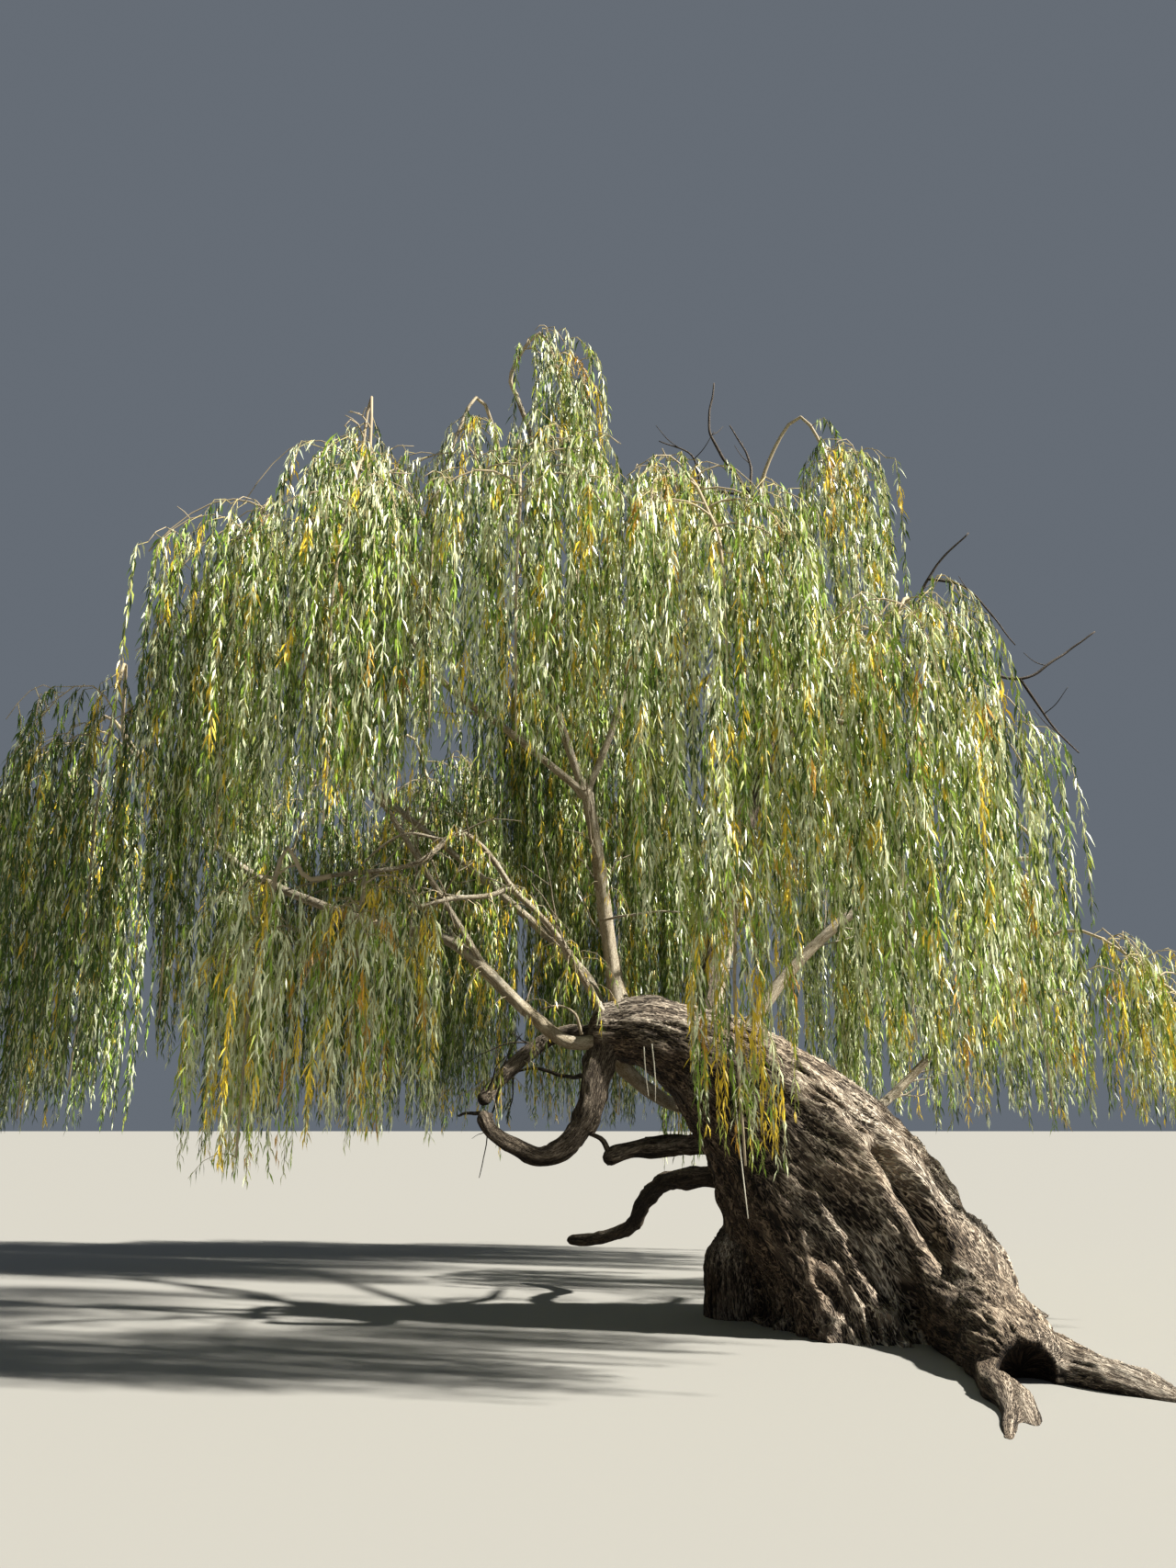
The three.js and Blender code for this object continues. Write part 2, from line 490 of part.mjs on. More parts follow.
// Sprays stand along a withy, each on the next of its three sides, flat side out, and hang down from it.
// One that would leave its mass's space, touch a limb or cross another spray is left out
function sprays(withy, spacing, { foot, crest }, isFree, others, random) {
  const made = [];
  const share = THREE.MathUtils.clamp((crest - foot) / FULL_HEIGHT, SMALLEST_SHARE, 1);
  const line = lineThrough(withy.points);
  const { tangents, normals } = frames(withy.points);
  const length = line.getLength();
  let turn = Math.floor(random() * 3);
  const gap = () => spacing * mix(...SPRAY_SPACING, random());
  for (let along = withy.bare; along < length - BARE_END; along += gap()) {
    const root = line.getPointAt(along / length);
    const longest = root.z - foot + SPRAY_BELOW_FOOT;
    const size = Math.min(SPRAY_LENGTH * share * mix(...SPRAY_SIZES, random()), longest);
    const ends = line.getCurveLengths();
    const ring = ends.findIndex((end) => end >= along);
    for (let go = 0; go < 3 && size > SHORTEST_SPRAY; go++) {
      turn += 1;
      const angle = Math.PI * (1 / 3 + (2 / 3) * turn);
      const out = normals[ring].clone().multiplyScalar(Math.sin(angle))
        .addScaledVector(tangents[ring].clone().cross(normals[ring]), Math.cos(angle))
        .setZ(0).normalize();
      const direction = at(0, 0, -1).addScaledVector(out, SPRAY_TILT).normalize();
      const width = out.clone().cross(direction).normalize();
      const middle = root.clone().addScaledVector(direction, size * SPRAY_WIDEST);
      const edges = [-1, 1].map((s) => middle.clone().addScaledVector(width, s * SPRAY_WIDTH * share / 2));
      const tip = root.clone().addScaledVector(direction, size);
      if (![root, tip, middle, ...edges].every(isFree)) continue;
      const blade = spray(root, direction, width, size, share);
      if (![...others, ...made].every((other) => apart(blade, other))) continue;
      made.push(blade);
      break;
    }
  }
  return made;
}

function mesh(name, shape, material) {
  const raw = shape.getMesh();
  const geometry = new THREE.BufferGeometry();
  geometry.setAttribute('position', new THREE.BufferAttribute(new Float32Array(raw.vertProperties), 3));
  geometry.setIndex(new THREE.BufferAttribute(new Uint32Array(raw.triVerts), 1));
  geometry.computeVertexNormals();
  const made = new THREE.Mesh(geometry, material);
  made.name = name;
  return made;
}

function willow() {
  const tree = new THREE.Group();
  tree.add(mesh('trunk', trunk(), BARK));
  const wood = [trunk(GAP)];
  for (const [name, spec] of Object.entries(LIMBS)) {
    tree.add(mesh(name, cutClear(limb(spec), wood), spec.thick > ROUGH_FROM ? BARK : PALE_BARK));
    wood.push(limb(spec, GAP));
  }
  for (const [name, specs] of Object.entries(DEAD_LIMBS)) {
    tree.add(mesh(name, cutClear(fuse(specs.map((spec) => limb(spec))), wood), DEAD_WOOD));
    wood.push(...specs.map((spec) => limb(spec, GAP)));
  }

  const masses = Object.entries(MASSES);
  const stems = masses.map(([, spec]) => stemPoints(spec));
  const hearts = masses.map(([, spec], i) => flattened(heart(spec, stems[i])));
  const stemSpaces = stems.map((stem) => rod(stem, STEM_RADIUS, CLEAR_OF_LIMB));
  masses.forEach(([name, spec], i) => {
    const isFree = (p) => depthInSpace(p, hearts[i], hearts) > CLEAR_OF_NEIGHBOUR;
    const blockers = [...wood, ...stemSpaces.filter((_, k) => k !== i)];
    const shape = foliage(spec, stems[i], isFree, blockers, seeded(i + FIRST_SEED));
    tree.add(mesh(name, cutClear(shape, wood), LEAF));
  });
  return tree;
}

export default willow();
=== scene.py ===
# %% [markdown]
# # A weeping willow that leans
# This is an old weeping willow. Its trunk leans so far to one side that it ends in a knuckle as high as a
# person, and boughs rise from that knuckle and hang curtains of thin withies round an open space.
# The solids that are loaded here already give every limb and every mass of foliage its place. The cells
# below dress them: bark with real furrows, finer wood, and withies with a leaf every few centimetres.

# %% The frame
import math
from itertools import product

import bmesh
import bpy
import numpy as np
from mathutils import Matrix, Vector


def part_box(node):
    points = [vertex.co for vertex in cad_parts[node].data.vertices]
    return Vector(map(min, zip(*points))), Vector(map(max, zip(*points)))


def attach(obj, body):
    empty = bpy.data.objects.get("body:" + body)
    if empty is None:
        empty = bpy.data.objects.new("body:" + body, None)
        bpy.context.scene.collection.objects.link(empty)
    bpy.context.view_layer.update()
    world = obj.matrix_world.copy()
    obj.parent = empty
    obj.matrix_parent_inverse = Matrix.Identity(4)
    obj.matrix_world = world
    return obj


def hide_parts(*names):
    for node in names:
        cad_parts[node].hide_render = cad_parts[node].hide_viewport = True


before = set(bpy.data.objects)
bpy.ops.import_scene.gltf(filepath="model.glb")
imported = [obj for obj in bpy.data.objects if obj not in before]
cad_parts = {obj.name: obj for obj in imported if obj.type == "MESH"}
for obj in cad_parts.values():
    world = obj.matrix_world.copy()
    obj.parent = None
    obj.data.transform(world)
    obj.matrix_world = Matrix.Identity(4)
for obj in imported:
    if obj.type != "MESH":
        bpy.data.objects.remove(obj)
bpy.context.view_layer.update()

# %% [markdown]
# ## Smooth lines
# Every limb follows a smooth curve through a few named points. A Blender curve could draw it, but the bark
# and the leaves also need to know where they are along it, so the curve is worked out here as an array.
# The formula is the centripetal one, the same as in the solids, so wood and solid lie on one line.

# %% Curves through points
FINE_STEPS = 50  # steps from point to point, before they are evened out


def curve_at(points, shares):
    """Points of the smooth curve through the given ones, at shares of the way from first to last."""
    p = np.array(points, float)
    p = np.vstack([2 * p[:1] - p[1:2], p, 2 * p[-1:] - p[-2:-1]])
    place = np.asarray(shares, float) * (len(points) - 1)
    span = np.minimum(place.astype(int), len(points) - 2)
    t = (place - span)[:, None]
    a, b, c, d = (p[span + k] for k in range(4))
    ab, bc, cd = (np.sqrt(np.linalg.norm(q - o, axis=1))[:, None] for o, q in ((a, b), (b, c), (c, d)))
    out = ((b - a) / ab - (c - a) / (ab + bc) + (c - b) / bc) * bc
    back = ((c - b) / bc - (d - b) / (bc + cd) + (d - c) / cd) * bc
    return b + out * t + (3 * (c - b) - 2 * out - back) * t**2 + (2 * (b - c) + out + back) * t**3


def run_of(points):
    """How far along the line each point lies."""
    return np.concatenate([[0.0], np.cumsum(np.linalg.norm(np.diff(points, axis=0), axis=1))])


def along_line(points, places):
    """Points of a line of straight steps, at distances along it."""
    run = run_of(points)
    return np.stack([np.interp(places, run, points[:, k]) for k in range(3)], axis=1)


def spaced(points, step=None, spans=None):
    """The smooth curve through the points, in even steps."""
    dense = curve_at(points, np.linspace(0, 1, FINE_STEPS * (len(points) - 1) + 1))
    length = run_of(dense)[-1]
    spans = spans or max(2, round(length / step))
    return along_line(dense, np.linspace(0, length, spans + 1))


def unit(vectors):
    return vectors / np.maximum(np.linalg.norm(vectors, axis=-1, keepdims=True), 1e-9)


def carried_frames(points):
    """The direction at each point, and two square to it that are carried along without twist."""
    tangents = unit(np.gradient(points, axis=0))
    normal = np.array([1.0, 0, 0]) if abs(tangents[0][0]) < 0.8 else np.array([0, 0, 1.0])
    normals = np.empty_like(tangents)
    for i, tangent in enumerate(tangents):
        normal = unit(normal - normal.dot(tangent) * tangent)
        normals[i] = normal
    return tangents, normals, np.cross(tangents, normals)


# %% [markdown]
# ## Noise
# Bark, knots and folds need an irregular pattern that also has a direction. Blender's noise lives in
# shaders, and its Python noise works one point at a time, which is slow on a hundred thousand vertices.
# So this is the classic gradient noise on whole arrays, with its table dealt from a fixed seed.

# %% Gradient noise on arrays
TABLE = 256
dealer = np.random.default_rng(7)
SHUFFLE = dealer.permutation(TABLE)
GRADIENTS = unit(dealer.normal(size=(TABLE, 3)))
NOISE_GAIN = 1.7  # brings the noise to about -1 to 1


def noise(points):
    cell = np.floor(points).astype(int)
    inside = points - cell
    ease = inside**3 * (inside * (inside * 6 - 15) + 10)
    total = np.zeros(len(points))
    for corner in product((0, 1), repeat=3):
        x, y, z = ((cell + corner) % TABLE).T
        gradient = GRADIENTS[SHUFFLE[(SHUFFLE[(SHUFFLE[x] + y) % TABLE] + z) % TABLE]]
        weight = np.prod(np.where(corner, ease, 1 - ease), axis=1)
        total += weight * ((inside - corner) * gradient).sum(axis=1)
    return total * NOISE_GAIN


# %% [markdown]
# ## From arrays to pieces
# Half a million leaf faces are too many to add one by one, so each piece is written into its mesh in bulk.
# Every piece rides on the tree's one body, stands for the solid it dresses, and carries its finishes.

# %% Making a piece from arrays
def place_vertices(mesh, verts):
    mesh.vertices.foreach_set("co", np.asarray(verts, np.float32).ravel())


def mesh_from(name, verts, faces, finish_of_face=None):
    """A mesh of triangles, written in bulk."""
    mesh = bpy.data.meshes.new(name)
    mesh.vertices.add(len(verts))
    place_vertices(mesh, verts)
    mesh.loops.add(len(faces) * 3)
    mesh.loops.foreach_set("vertex_index", np.asarray(faces, np.int32).ravel())
    mesh.polygons.add(len(faces))
    mesh.polygons.foreach_set("loop_start", np.arange(0, len(faces) * 3, 3, dtype=np.int32))
    mesh.polygons.foreach_set("use_smooth", np.ones(len(faces), bool))
    if finish_of_face is not None:
        mesh.polygons.foreach_set("material_index", np.asarray(finish_of_face, np.int32))
    mesh.update(calc_edges=True)
    return mesh


def read_rows(items, key, width, kind=np.float32):
    """A mesh's own values as the rows of an array."""
    values = np.empty(len(items) * width, kind)
    items.foreach_get(key, values)
    return values.reshape(-1, width)


def normals_of(mesh):
    return read_rows(mesh.vertex_normals, "vector", 3).astype(float)


def write_on_points(mesh, **lists):
    """Keeps a number or a vector for each vertex, for the finish to read."""
    for name, values in lists.items():
        values = np.asarray(values, np.float32)
        kind, key = ("FLOAT", "value") if values.ndim == 1 else ("FLOAT_VECTOR", "vector")
        mesh.attributes.new(name, kind, "POINT").data.foreach_set(key, values.ravel())


def put_in_scene(name, data):
    thing = bpy.data.objects.new(name, data)
    bpy.context.scene.collection.objects.link(thing)
    return thing


def dress(name, mesh, finishes, node):
    """Puts a mesh in the scene in place of a solid."""
    for finish in finishes:
        mesh.materials.append(finish)
    piece = put_in_scene(name, mesh)
    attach(piece, "root")
    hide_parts(node)


def join_parts(parts):
    """Several (verts, faces, ...) as one, with the faces counted on."""
    starts = np.cumsum([0] + [len(part[0]) for part in parts[:-1]])
    faces = np.concatenate([part[1] + start for part, start in zip(parts, starts)])
    rest = [np.concatenate([part[k] for part in parts]) for k in range(2, len(parts[0]))]
    return np.concatenate([part[0] for part in parts]), faces, *rest

# %% [markdown]
# ## A tube with a changing girth
# Trunk, roots, boughs and withies are all tubes round a line. One function lays rings of vertices along
# the line and closes both ends. It also gives back each vertex's angle and its distance along the line:
# bark needs them, because its furrows run with the grain.

# %% Tubes round a line
def ring_faces(rings, sides):
    i, k = np.meshgrid(np.arange(rings - 1), np.arange(sides), indexing="ij")
    a, b = i * sides + k, i * sides + (k + 1) % sides
    walls = np.stack([a, b, b + sides, a, b + sides, a + sides], axis=-1).reshape(-1, 3)
    fan = np.stack([np.zeros(sides - 2, int), np.arange(1, sides - 1), np.arange(2, sides)], axis=1)
    return np.concatenate([walls, fan[:, ::-1], fan + (rings - 1) * sides])


def tube(points, across, sides, deep=None):
    """across and deep are the half widths: one for each ring, or one for each ring and side."""
    _, normals, binormals = carried_frames(points)
    angle = np.arange(sides) * 2 * math.pi / sides
    halves = [np.asarray(half, float) for half in (across, across if deep is None else deep)]
    across, deep = (half if half.ndim == 2 else half[:, None] for half in halves)
    verts = (points[:, None] + (np.cos(angle) * across)[..., None] * normals[:, None]
             + (np.sin(angle) * deep)[..., None] * binormals[:, None])
    run = np.repeat(run_of(points), sides)
    return verts.reshape(-1, 3), ring_faces(len(points), sides), np.tile(angle, len(points)), run


# %% [markdown]
# ## The bark's finish
# Old willow bark is a net of grey-brown ridges with nearly black furrows between them. The furrows are
# real geometry here, and each vertex keeps how high it stands on its ridge. The finish colours by that
# height: near black in the furrow, brown on the flank, and pale grey where weather and sun have bleached the
# crest. The furrows' near black is partly the bark's own colour and partly painted shade, for the shadow
# that fills them. The side that faces down and to the left, away from the light, is painted darker and
# browner: painted shade. A slow noise drifts between grey and brown, and a fine net of ridges along the
# grain carries on where the mesh's own relief gets too fine.

# %% Bark finishes
SHADE_SIDE_TINT = (0.30, 0.25, 0.21)  # painted shade: the share of its colour that bark keeps on the side that faces away from the light
# bark that faces this way keeps its own colour; bark that faces away gets painted shade
SUN_SIDE = unit(np.array([0.55, -0.25, 0.80]))
LIT_FROM, LIT_OVER = -0.30, 0.75  # from where the painted shade gives way to the bark's own colour as it faces the sun, and over what range
PIT_SHAPE = 0.14  # width of a pit for its length
RELIEF_SHARE, PIT_SHARE = 0.62, 0.58  # what the mesh's relief and the pits add to the height
FURROW_AT, FLANK_AT, CREST_AT = 0.20, 0.52, 0.95
# the near-black furrow colours are partly the bark's own and partly painted shade for the furrows' shadow
BARKS = {  # furrow, flank, crest, weathered drift, width and depth of the finest pits, own painted-shade tint if any
    "trunk_bark": ((0.014, 0.010, 0.007), (0.225, 0.175, 0.130), (0.68, 0.60, 0.49), (0.74, 0.68, 0.62),
                   0.080, 0.050),
    "rough_bough_bark": ((0.022, 0.016, 0.011), (0.15, 0.115, 0.082), (0.45, 0.38, 0.29),
                         (0.75, 0.72, 0.70), 0.050, 0.022),
    "pale_bough_bark": ((0.26, 0.20, 0.12), (0.60, 0.52, 0.38), (0.86, 0.79, 0.65), (0.82, 0.78, 0.70),
                        0.030, 0.005, (0.74, 0.67, 0.58)),
    "dead_wood": ((0.05, 0.04, 0.033), (0.14, 0.115, 0.095), (0.30, 0.26, 0.22), (0.8, 0.8, 0.82),
                  0.015, 0.002),
}


def node_maker(name):
    """A finish with its shader, a helper that adds a node, and one that sets or links its inputs."""
    finish = bpy.data.materials.new(name)
    finish.use_nodes = True
    nodes, links = finish.node_tree.nodes, finish.node_tree.links

    def connect(node, values):
        for socket, value in values.items():
            if isinstance(value, bpy.types.NodeSocket):
                links.new(value, node.inputs[socket])
            else:
                node.inputs[socket].default_value = value

    def add(what, values=(), **settings):
        """Adds a node, such as Math.Value: its kind and the output that is given back."""
        kind, output = what.split(".")
        node = nodes.new("ShaderNode" + kind)
        for key, value in settings.items():
            setattr(node, key, value)
        connect(node, dict(values))
        return node.outputs[output]

    return finish, nodes["Principled BSDF"], add, connect


def ramp(add, factor, *stops):
    """A colour for each height: stops are (place, colour)."""
    colour = add("ValToRGB.Color", {"Fac": factor})
    band = colour.node.color_ramp
    while len(band.elements) < len(stops):
        band.elements.new(0.5)
    for element, (place, shade) in zip(band.elements, stops):
        element.position = place
        element.color = (*shade, 1)
    return colour


def worn_by_weather(normals):
    """1 where bark faces the sun, 0 on the underside that faces away, where its shade is painted."""
    return np.clip((normals @ SUN_SIDE - LIT_FROM) / LIT_OVER, 0, 1)


def bark_finish(name, furrow, flank, crest, weather, pit_width, pit_depth, shade_tint=SHADE_SIDE_TINT):
    """Coloured by height: the mesh's own relief, and on it a crisper net of pits along the grain."""
    finish, shader, add, connect = node_maker(name)
    relief = add("Attribute.Fac", attribute_name="relief")
    worn = add("Attribute.Fac", attribute_name="worn")
    grain = add("Attribute.Vector", attribute_name="grain")
    pit_scale = (1 / pit_width, 1 / pit_width, PIT_SHAPE / pit_width)
    along = add("Mapping.Vector", {"Vector": grain, "Scale": pit_scale})
    stray = add("TexNoise.Color", {"Vector": along, "Scale": 0.9, "Detail": 4.0, "Roughness": 0.6})
    bent = add("VectorMath.Vector", {0: stray, 1: (1.6, 1.6, 1.0), 2: along}, operation="MULTIPLY_ADD")
    border = add("TexVoronoi.Distance", {"Vector": bent}, feature="DISTANCE_TO_EDGE")
    rough = add("TexNoise.Fac", {"Vector": along, "Scale": 2.4, "Detail": 6.0, "Roughness": 0.7})
    pits = add("Math.Value", {0: rough, 1: -0.55, 2: border}, operation="MULTIPLY_ADD")
    ridges = add("MapRange.Result", {"Value": pits, "From Min": -0.06, "From Max": -0.24})
    height = add("Math.Value", {0: ridges, 1: PIT_SHARE}, operation="MULTIPLY")
    height = add("Math.Value", {0: relief, 1: RELIEF_SHARE, 2: height}, operation="MULTIPLY_ADD")
    # near black in the pits: partly the bark's own colour, partly painted shade for the shadow in them
    wood = ramp(add, height, (FURROW_AT, furrow), (FLANK_AT, flank), (CREST_AT, crest))
    slow = add("TexNoise.Fac", {"Vector": add("TexCoord.Object"), "Scale": 1.7, "Detail": 3.0})
    drift = ramp(add, slow, (0.35, (1, 1, 1)), (0.65, weather))
    colour = add("MixRGB.Color", {"Fac": 1.0, "Color1": wood, "Color2": drift}, blend_type="MULTIPLY")
    # painted shade: where the bark faces away from the light, its colour is multiplied by the shade tint
    shade_inputs = {"Fac": 1.0, "Color1": colour, "Color2": (*shade_tint, 1)}
    shaded = add("MixRGB.Color", shade_inputs, blend_type="MULTIPLY")
    colour = add("MixRGB.Color", {"Fac": worn, "Color1": shaded, "Color2": colour})
    bump = add("Bump.Normal", {"Strength": 1.0, "Distance": pit_depth, "Height": ridges})
    connect(shader, {"Base Color": colour, "Normal": bump, "Roughness": 0.9, "Specular IOR Level": 0.25})
    return finish


barks = {name: bark_finish(name, *look) for name, look in BARKS.items()}
print("bark finishes:", ", ".join(barks))

# %% [markdown]
# ## The trunk's body
# The trunk is one loft from the ground to the knuckle, with roots and a burl that stand out of its foot.
# Separate tubes would show hard seams where they cross. A voxel remesh melts them into one skin, with the
# soft hollows that living wood grows there, and gives the even mesh that the bark needs.

# %% Trunk, roots and burl as one skin
TRUNK = [  # centre, half width in the plane of the lean, half depth
    ((-0.02, 0, -0.2), 1.010, 0.860),
    ((-0.05, 0, 0.06), 0.930, 0.800),
    ((-0.11, 0, 0.33), 0.865, 0.730),
    ((-0.24, 0.005, 0.64), 0.830, 0.690),
    ((-0.56, 0.015, 1.1), 0.735, 0.630),
    ((-0.98, 0.03, 1.61), 0.525, 0.500),
    ((-1.38, 0.03, 1.945), 0.380, 0.370),
    ((-1.8, 0.01, 2.125), 0.265, 0.265),
    ((-2.19, 0, 2.15), 0.175, 0.185),
]
ROOTS = [  # path, first and last radius
    ([(0.3, -0.25, 0.52), (0.38, -1.05, 0.15), (0.34, -1.95, 0.02)], 0.4, 0.28),
    ([(0.45, -1.5, 0.03), (0.78, -1.98, 0), (1.08, -2.42, -0.04)], 0.25, 0.08),
    ([(0.19, -1.6, 0.06), (0.09, -2.05, 0.02), (0.02, -2.5, 0), (-0.2, -3.15, -0.03)], 0.12, 0.036),
    ([(0.12, -2.2, 0), (0.08, -2.6, 0), (0.02, -2.96, -0.04)], 0.08, 0.032),
    ([(0.35, 0.1, 0.42), (0.95, 0.25, 0.02), (1.35, 0.42, -0.06)], 0.33, 0.08),
    ([(-0.1, 0.2, 0.42), (0.15, 0.95, 0.02), (0.32, 1.4, -0.06)], 0.33, 0.08),
    ([(-0.5, 0.15, 0.38), (-0.9, 0.85, 0), (-1.15, 1.25, -0.06)], 0.3, 0.08),
]
BURL_CENTRE, BURL_HALF = (-1.095, 0.385, 0.19), (0.265, 0.25, 0.5)
FLUTES = {"count": 5, "depth": 0.085, "turn": 0.6}
TRUNK_RINGS, TRUNK_SIDES = 140, 96
ROOT_STEP, ROOT_SIDES = 0.05, 40
ROOT_END = (0.97, 0.88, 0.65)  # how the last three rings of a root round it off
BURL_RINGS = 24
VOXEL = 0.0155
HOLLOW_CENTRE, HOLLOW_HALF, HOLLOW_TURN = (0.3, -2.05, 0.06), (0.155, 0.3, 0.165), -0.33
HOLLOW_RIM, HOLLOW_FADE = 1.22, 0.14  # where its painted shade ends and over what range, in half widths


def column():
    share = np.linspace(0, 1, TRUNK_RINGS)
    points = curve_at([centre for centre, _, _ in TRUNK], share)
    stations = np.linspace(0, 1, len(TRUNK))
    across = np.interp(share, stations, [station[1] for station in TRUNK])
    deep = np.interp(share, stations, [station[2] for station in TRUNK])
    angle = np.arange(TRUNK_SIDES) * 2 * math.pi / TRUNK_SIDES
    wave = np.cos(FLUTES["count"] * (angle[None] + FLUTES["turn"] + share[:, None]))
    fold = 1 + FLUTES["depth"] * (1 - share[:, None]) * wave
    return points, across, deep, tube(points, across[:, None] * fold, TRUNK_SIDES, deep[:, None] * fold)


def within_hollow(points):
    """Painted shade: 1 inside the hollow between the roots, fading to 0 at its rim."""
    c, t = math.cos(HOLLOW_TURN), math.sin(HOLLOW_TURN)
    off = points - HOLLOW_CENTRE
    turned = [c * off[:, 0] + t * off[:, 1], c * off[:, 1] - t * off[:, 0], off[:, 2]]
    own = np.column_stack(turned) / HOLLOW_HALF
    return np.clip((HOLLOW_RIM - np.linalg.norm(own, axis=1)) / HOLLOW_FADE, 0, 1)


def root_tube(path, thick, thin):
    points = spaced(path, ROOT_STEP)
    radii = np.linspace(thick, thin, len(points))
    radii[-3:] *= ROOT_END
    return points, radii, radii, tube(points, radii, ROOT_SIDES)


def burl_tube():
    """An upright knob whose girth grows and shrinks as a ball's does."""
    share = np.linspace(-0.995, 0.995, BURL_RINGS)
    points = np.array(BURL_CENTRE) + share[:, None] * (0, 0, BURL_HALF[2])
    across, deep = (half * np.sqrt(1 - share**2) for half in BURL_HALF[:2])
    return points, across, deep, tube(points, across, ROOT_SIDES, deep)


skeletons = [column()] + [root_tube(*root) for root in ROOTS] + [burl_tube()]
verts, faces = join_parts([skeleton[3][:2] for skeleton in skeletons])
raw = put_in_scene("raw_trunk", mesh_from("raw_trunk", verts, faces))

dent_maker = bmesh.new()
bmesh.ops.create_icosphere(dent_maker, subdivisions=4, radius=1.0)
dent_mesh = bpy.data.meshes.new("root_hollow")
dent_maker.to_mesh(dent_mesh)
dent_maker.free()
dent = put_in_scene("root_hollow", dent_mesh)
dent.location, dent.scale, dent.rotation_euler = HOLLOW_CENTRE, HOLLOW_HALF, (0, 0, HOLLOW_TURN)

for step in ("melt", "hollow", "even"):
    if step == "hollow":
        modifier = raw.modifiers.new(step, "BOOLEAN")
        modifier.operation, modifier.object, modifier.solver = "DIFFERENCE", dent, "EXACT"
    else:
        modifier = raw.modifiers.new(step, "REMESH")
        modifier.mode, modifier.voxel_size = "VOXEL", VOXEL
bpy.context.view_layer.update()
melted = bpy.data.meshes.new_from_object(raw.evaluated_get(bpy.context.evaluated_depsgraph_get()))
for spent in (raw, dent):
    bpy.data.objects.remove(spent)
print("trunk skin:", len(melted.vertices), "vertices")

# %% [markdown]
# ## Furrows that follow the grain
# Bark splits along the trunk as the wood inside swells, so its furrows are long lens-shaped pits between
# ridges that part and meet again. Noise that is stretched along the grain is zero along just such a net of
# lines, so the distance from zero gives the height. Each vertex takes its grain from the limb it lies
# nearest to, blended where a root leaves the trunk. The finest pits are left to the finish.

# %% Bark relief for any limb
GRAIN_TWIST = 0.22  # turn of the grain in radians for each metre
PLATE_WIDTH, PLATE_LENGTH = 0.20, 0.70
RIDGE_WIDTH, RIDGE_LENGTH = 0.075, 0.34
WANDER = 0.55  # how far a ridge strays from the grain, in ridge widths
GRAIN_GIRTH, GRAIN_POWER = 0.5, 0.62  # thin limbs have fewer ridges round them, but not in proportion
CHUNK = 4000  # points that are measured against a line at one time


def net(q, sharp):
    """1 on the lines of an irregular net, falling to 0 in its meshes."""
    return 1 - np.clip(np.abs(noise(q)) * sharp, 0, 1)


def grain_of(run, angle, girth):
    """Coordinates that run with the grain: two round the limb and one along it."""
    turn = angle + GRAIN_TWIST * run
    wide = GRAIN_GIRTH * (np.maximum(girth, 0.02) / GRAIN_GIRTH) ** GRAIN_POWER
    return np.column_stack([wide * np.cos(turn), wide * np.sin(turn), run])


def ridge_height(grain, scale=1.0, shift=0.0):
    """The height from 0 in a furrow to 1 on a ridge."""
    q = grain / (scale * np.array([RIDGE_WIDTH, RIDGE_WIDTH, RIDGE_LENGTH])) + shift
    stray = np.column_stack([noise(q * 0.6 + 7.3), noise(q * 0.6 + 19.1), 0 * q[:, 0]])
    plates = grain / (scale * np.array([PLATE_WIDTH, PLATE_WIDTH, PLATE_LENGTH])) + shift + 0.4 * stray
    return (0.35 + 0.65 * net(plates, 2.0)) * (0.25 + 0.75 * net(q + WANDER * stray, 2.2))


def in_chunks(measure, points, size=CHUNK):
    """What measure gives for every point, worked out without one huge table."""
    return np.concatenate([measure(chunk) for chunk in np.array_split(points, max(1, len(points) // size))])


def place_on(verts, points, across, deep):
    """Each vertex's run along a limb, its angle round it, and its distance out in radii."""
    tangents, normals, binormals = carried_frames(points)
    nearest = in_chunks(lambda chunk: ((chunk[:, None] - points) ** 2).sum(-1).argmin(1), verts)
    off = verts - points[nearest]
    x = (off * normals[nearest]).sum(1) / across[nearest]
    y = (off * binormals[nearest]).sum(1) / deep[nearest]
    z = (off * tangents[nearest]).sum(1)
    return run_of(points)[nearest] + z, np.arctan2(y, x), np.hypot(x, y) + np.abs(z) / across[nearest]


# %% [markdown]
# ## Folds, hollows and scars
# The trunk's light and shade come mostly from a few large forms: a long ridge that runs down into the
# front root, a deep fold beside it, and the flanks between. Each is a line over the surface with a width
# and a height, so moving one is a matter of changing its points. In two places, on the pale swelling and at
# the front root's start, the ridges are worn down nearly flat.

